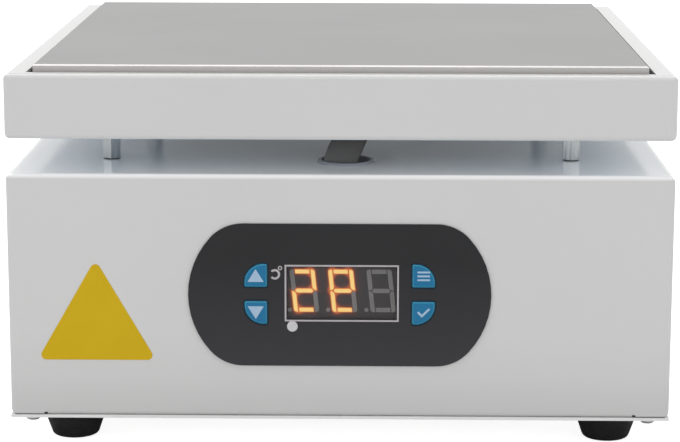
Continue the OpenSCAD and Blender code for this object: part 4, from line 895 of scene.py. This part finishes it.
# Yellow sticker
# A blank triangle of yellow vinyl with rounded corners, stuck to the front wall. Its edge
# stands out by the thickness of the film.
sticker_side = 0.0392
sticker_r = 0.0017
sticker_x = -0.0801
sticker_low = 0.0305
sticker_t = 0.00012
sticker_face = box_low.y - sticker_t
corner_reach = sticker_side / 2 - sticker_r * math.sqrt(3)
sticker_h = (sticker_side - 2 * sticker_r * math.sqrt(3)) * math.sqrt(3) / 2
corners = [
    (corner_reach, sticker_r, -90),
    (0, sticker_r + sticker_h, 30),
    (-corner_reach, sticker_r, 150),
]
outline = []
for x, z, start in corners:
    outline += arc(sticker_x + x, sticker_low + z, sticker_r, start, start + 120, 10)
vinyl = finish("yellow_vinyl", (0.675, 0.445, 0.0095), rough=0.5, shine=0.15)
tone(vinyl, (0.665, 0.435, 0.0085), (0.685, 0.455, 0.0105), spot=0.01)
relief(vinyl, depth=0.00001, spot=0.004)
piece("yellow_sticker", print_plate(outline, sticker_face, sticker_t), vinyl)


# Studio
# A pale floor that runs out to a white background, a broad soft light from above and a little
# in front, and the even light of a white room.
floor_r = 6.0
floor_drop = 0.0002
floor_lift = 0.88
mesh = bmesh.new()
bmesh.ops.create_circle(mesh, cap_ends=True, segments=96, radius=floor_r)
floor_data = bpy.data.meshes.new("floor")
mesh.to_mesh(floor_data)
mesh.free()
floor = bpy.data.objects.new("floor", floor_data)
floor.location.z = -floor_drop
bpy.context.collection.objects.link(floor)
floor_paint = finish("white_floor", (0.70, 0.69, 0.68), rough=0.9, shine=0.0)
shader_of(floor_paint).inputs["Emission Color"].default_value = (1, 1, 1, 1)
seen = tree_of(floor_paint)[0].new("ShaderNodeLightPath").outputs
lift = reckon(floor_paint, "MULTIPLY", seen["Is Camera Ray"], floor_lift)
steer(floor_paint, "Emission Strength", lift)
floor_data.materials.append(floor_paint)

room = bpy.data.worlds.new("white_room")
bpy.context.scene.world = room
room.use_nodes = True
nodes, links = tree_of(room)
seen = nodes.new("ShaderNodeLightPath").outputs
# The camera, reflections and clear windows see a plain white room
direct = reckon(room, "MAXIMUM", seen["Is Camera Ray"], seen["Is Glossy Ray"])
direct = reckon(room, "MAXIMUM", direct, seen["Is Transmission Ray"])
height = place_on(room, "Generated")["Z"]
walls = shades(room, height, [(0, (0.92, 0.94, 0.968)), (1, (0.20, 0.195, 0.19))])
even = nodes.new("ShaderNodeBackground")
even.inputs["Strength"].default_value = 1.45
links.new(walls, even.inputs["Color"])
white = nodes.new("ShaderNodeBackground")
white.inputs["Color"].default_value = (1, 1, 1, 1)
white.inputs["Strength"].default_value = 1.0
choice = nodes.new("ShaderNodeMixShader")
links.new(direct, choice.inputs["Fac"])
links.new(even.outputs["Background"], choice.inputs[1])
links.new(white.outputs["Background"], choice.inputs[2])
links.new(choice.outputs["Shader"], nodes["World Output"].inputs["Surface"])

soft_light = bpy.data.lights.new("overhead_light", "SUN")
soft_light.energy = 1.11
soft_light.angle = math.radians(36)
soft_light.color = (1.0, 0.975, 0.95)
overhead = bpy.data.objects.new("overhead_light", soft_light)
overhead.rotation_euler = (math.radians(3), math.radians(-6), 0)
bpy.context.collection.objects.link(overhead)

camera_at = Vector((0.011175, -0.846662, 0.223562))
camera_pitch = 11.23
camera_turn = 0.864
camera_roll = 0.101
lens_mm = 121.81
camera_data = bpy.data.cameras.new("camera")
camera_data.sensor_width = 36
camera_data.lens = lens_mm
camera = bpy.data.objects.new("camera", camera_data)
camera.matrix_world = (Matrix.Translation(camera_at)
                       @ Matrix.Rotation(math.radians(camera_turn), 4, "Z")
                       @ Matrix.Rotation(math.radians(90 - camera_pitch), 4, "X")
                       @ Matrix.Rotation(math.radians(camera_roll), 4, "Z"))
bpy.context.collection.objects.link(camera)
bpy.context.scene.camera = camera
bpy.context.scene.view_settings.view_transform = "Standard"
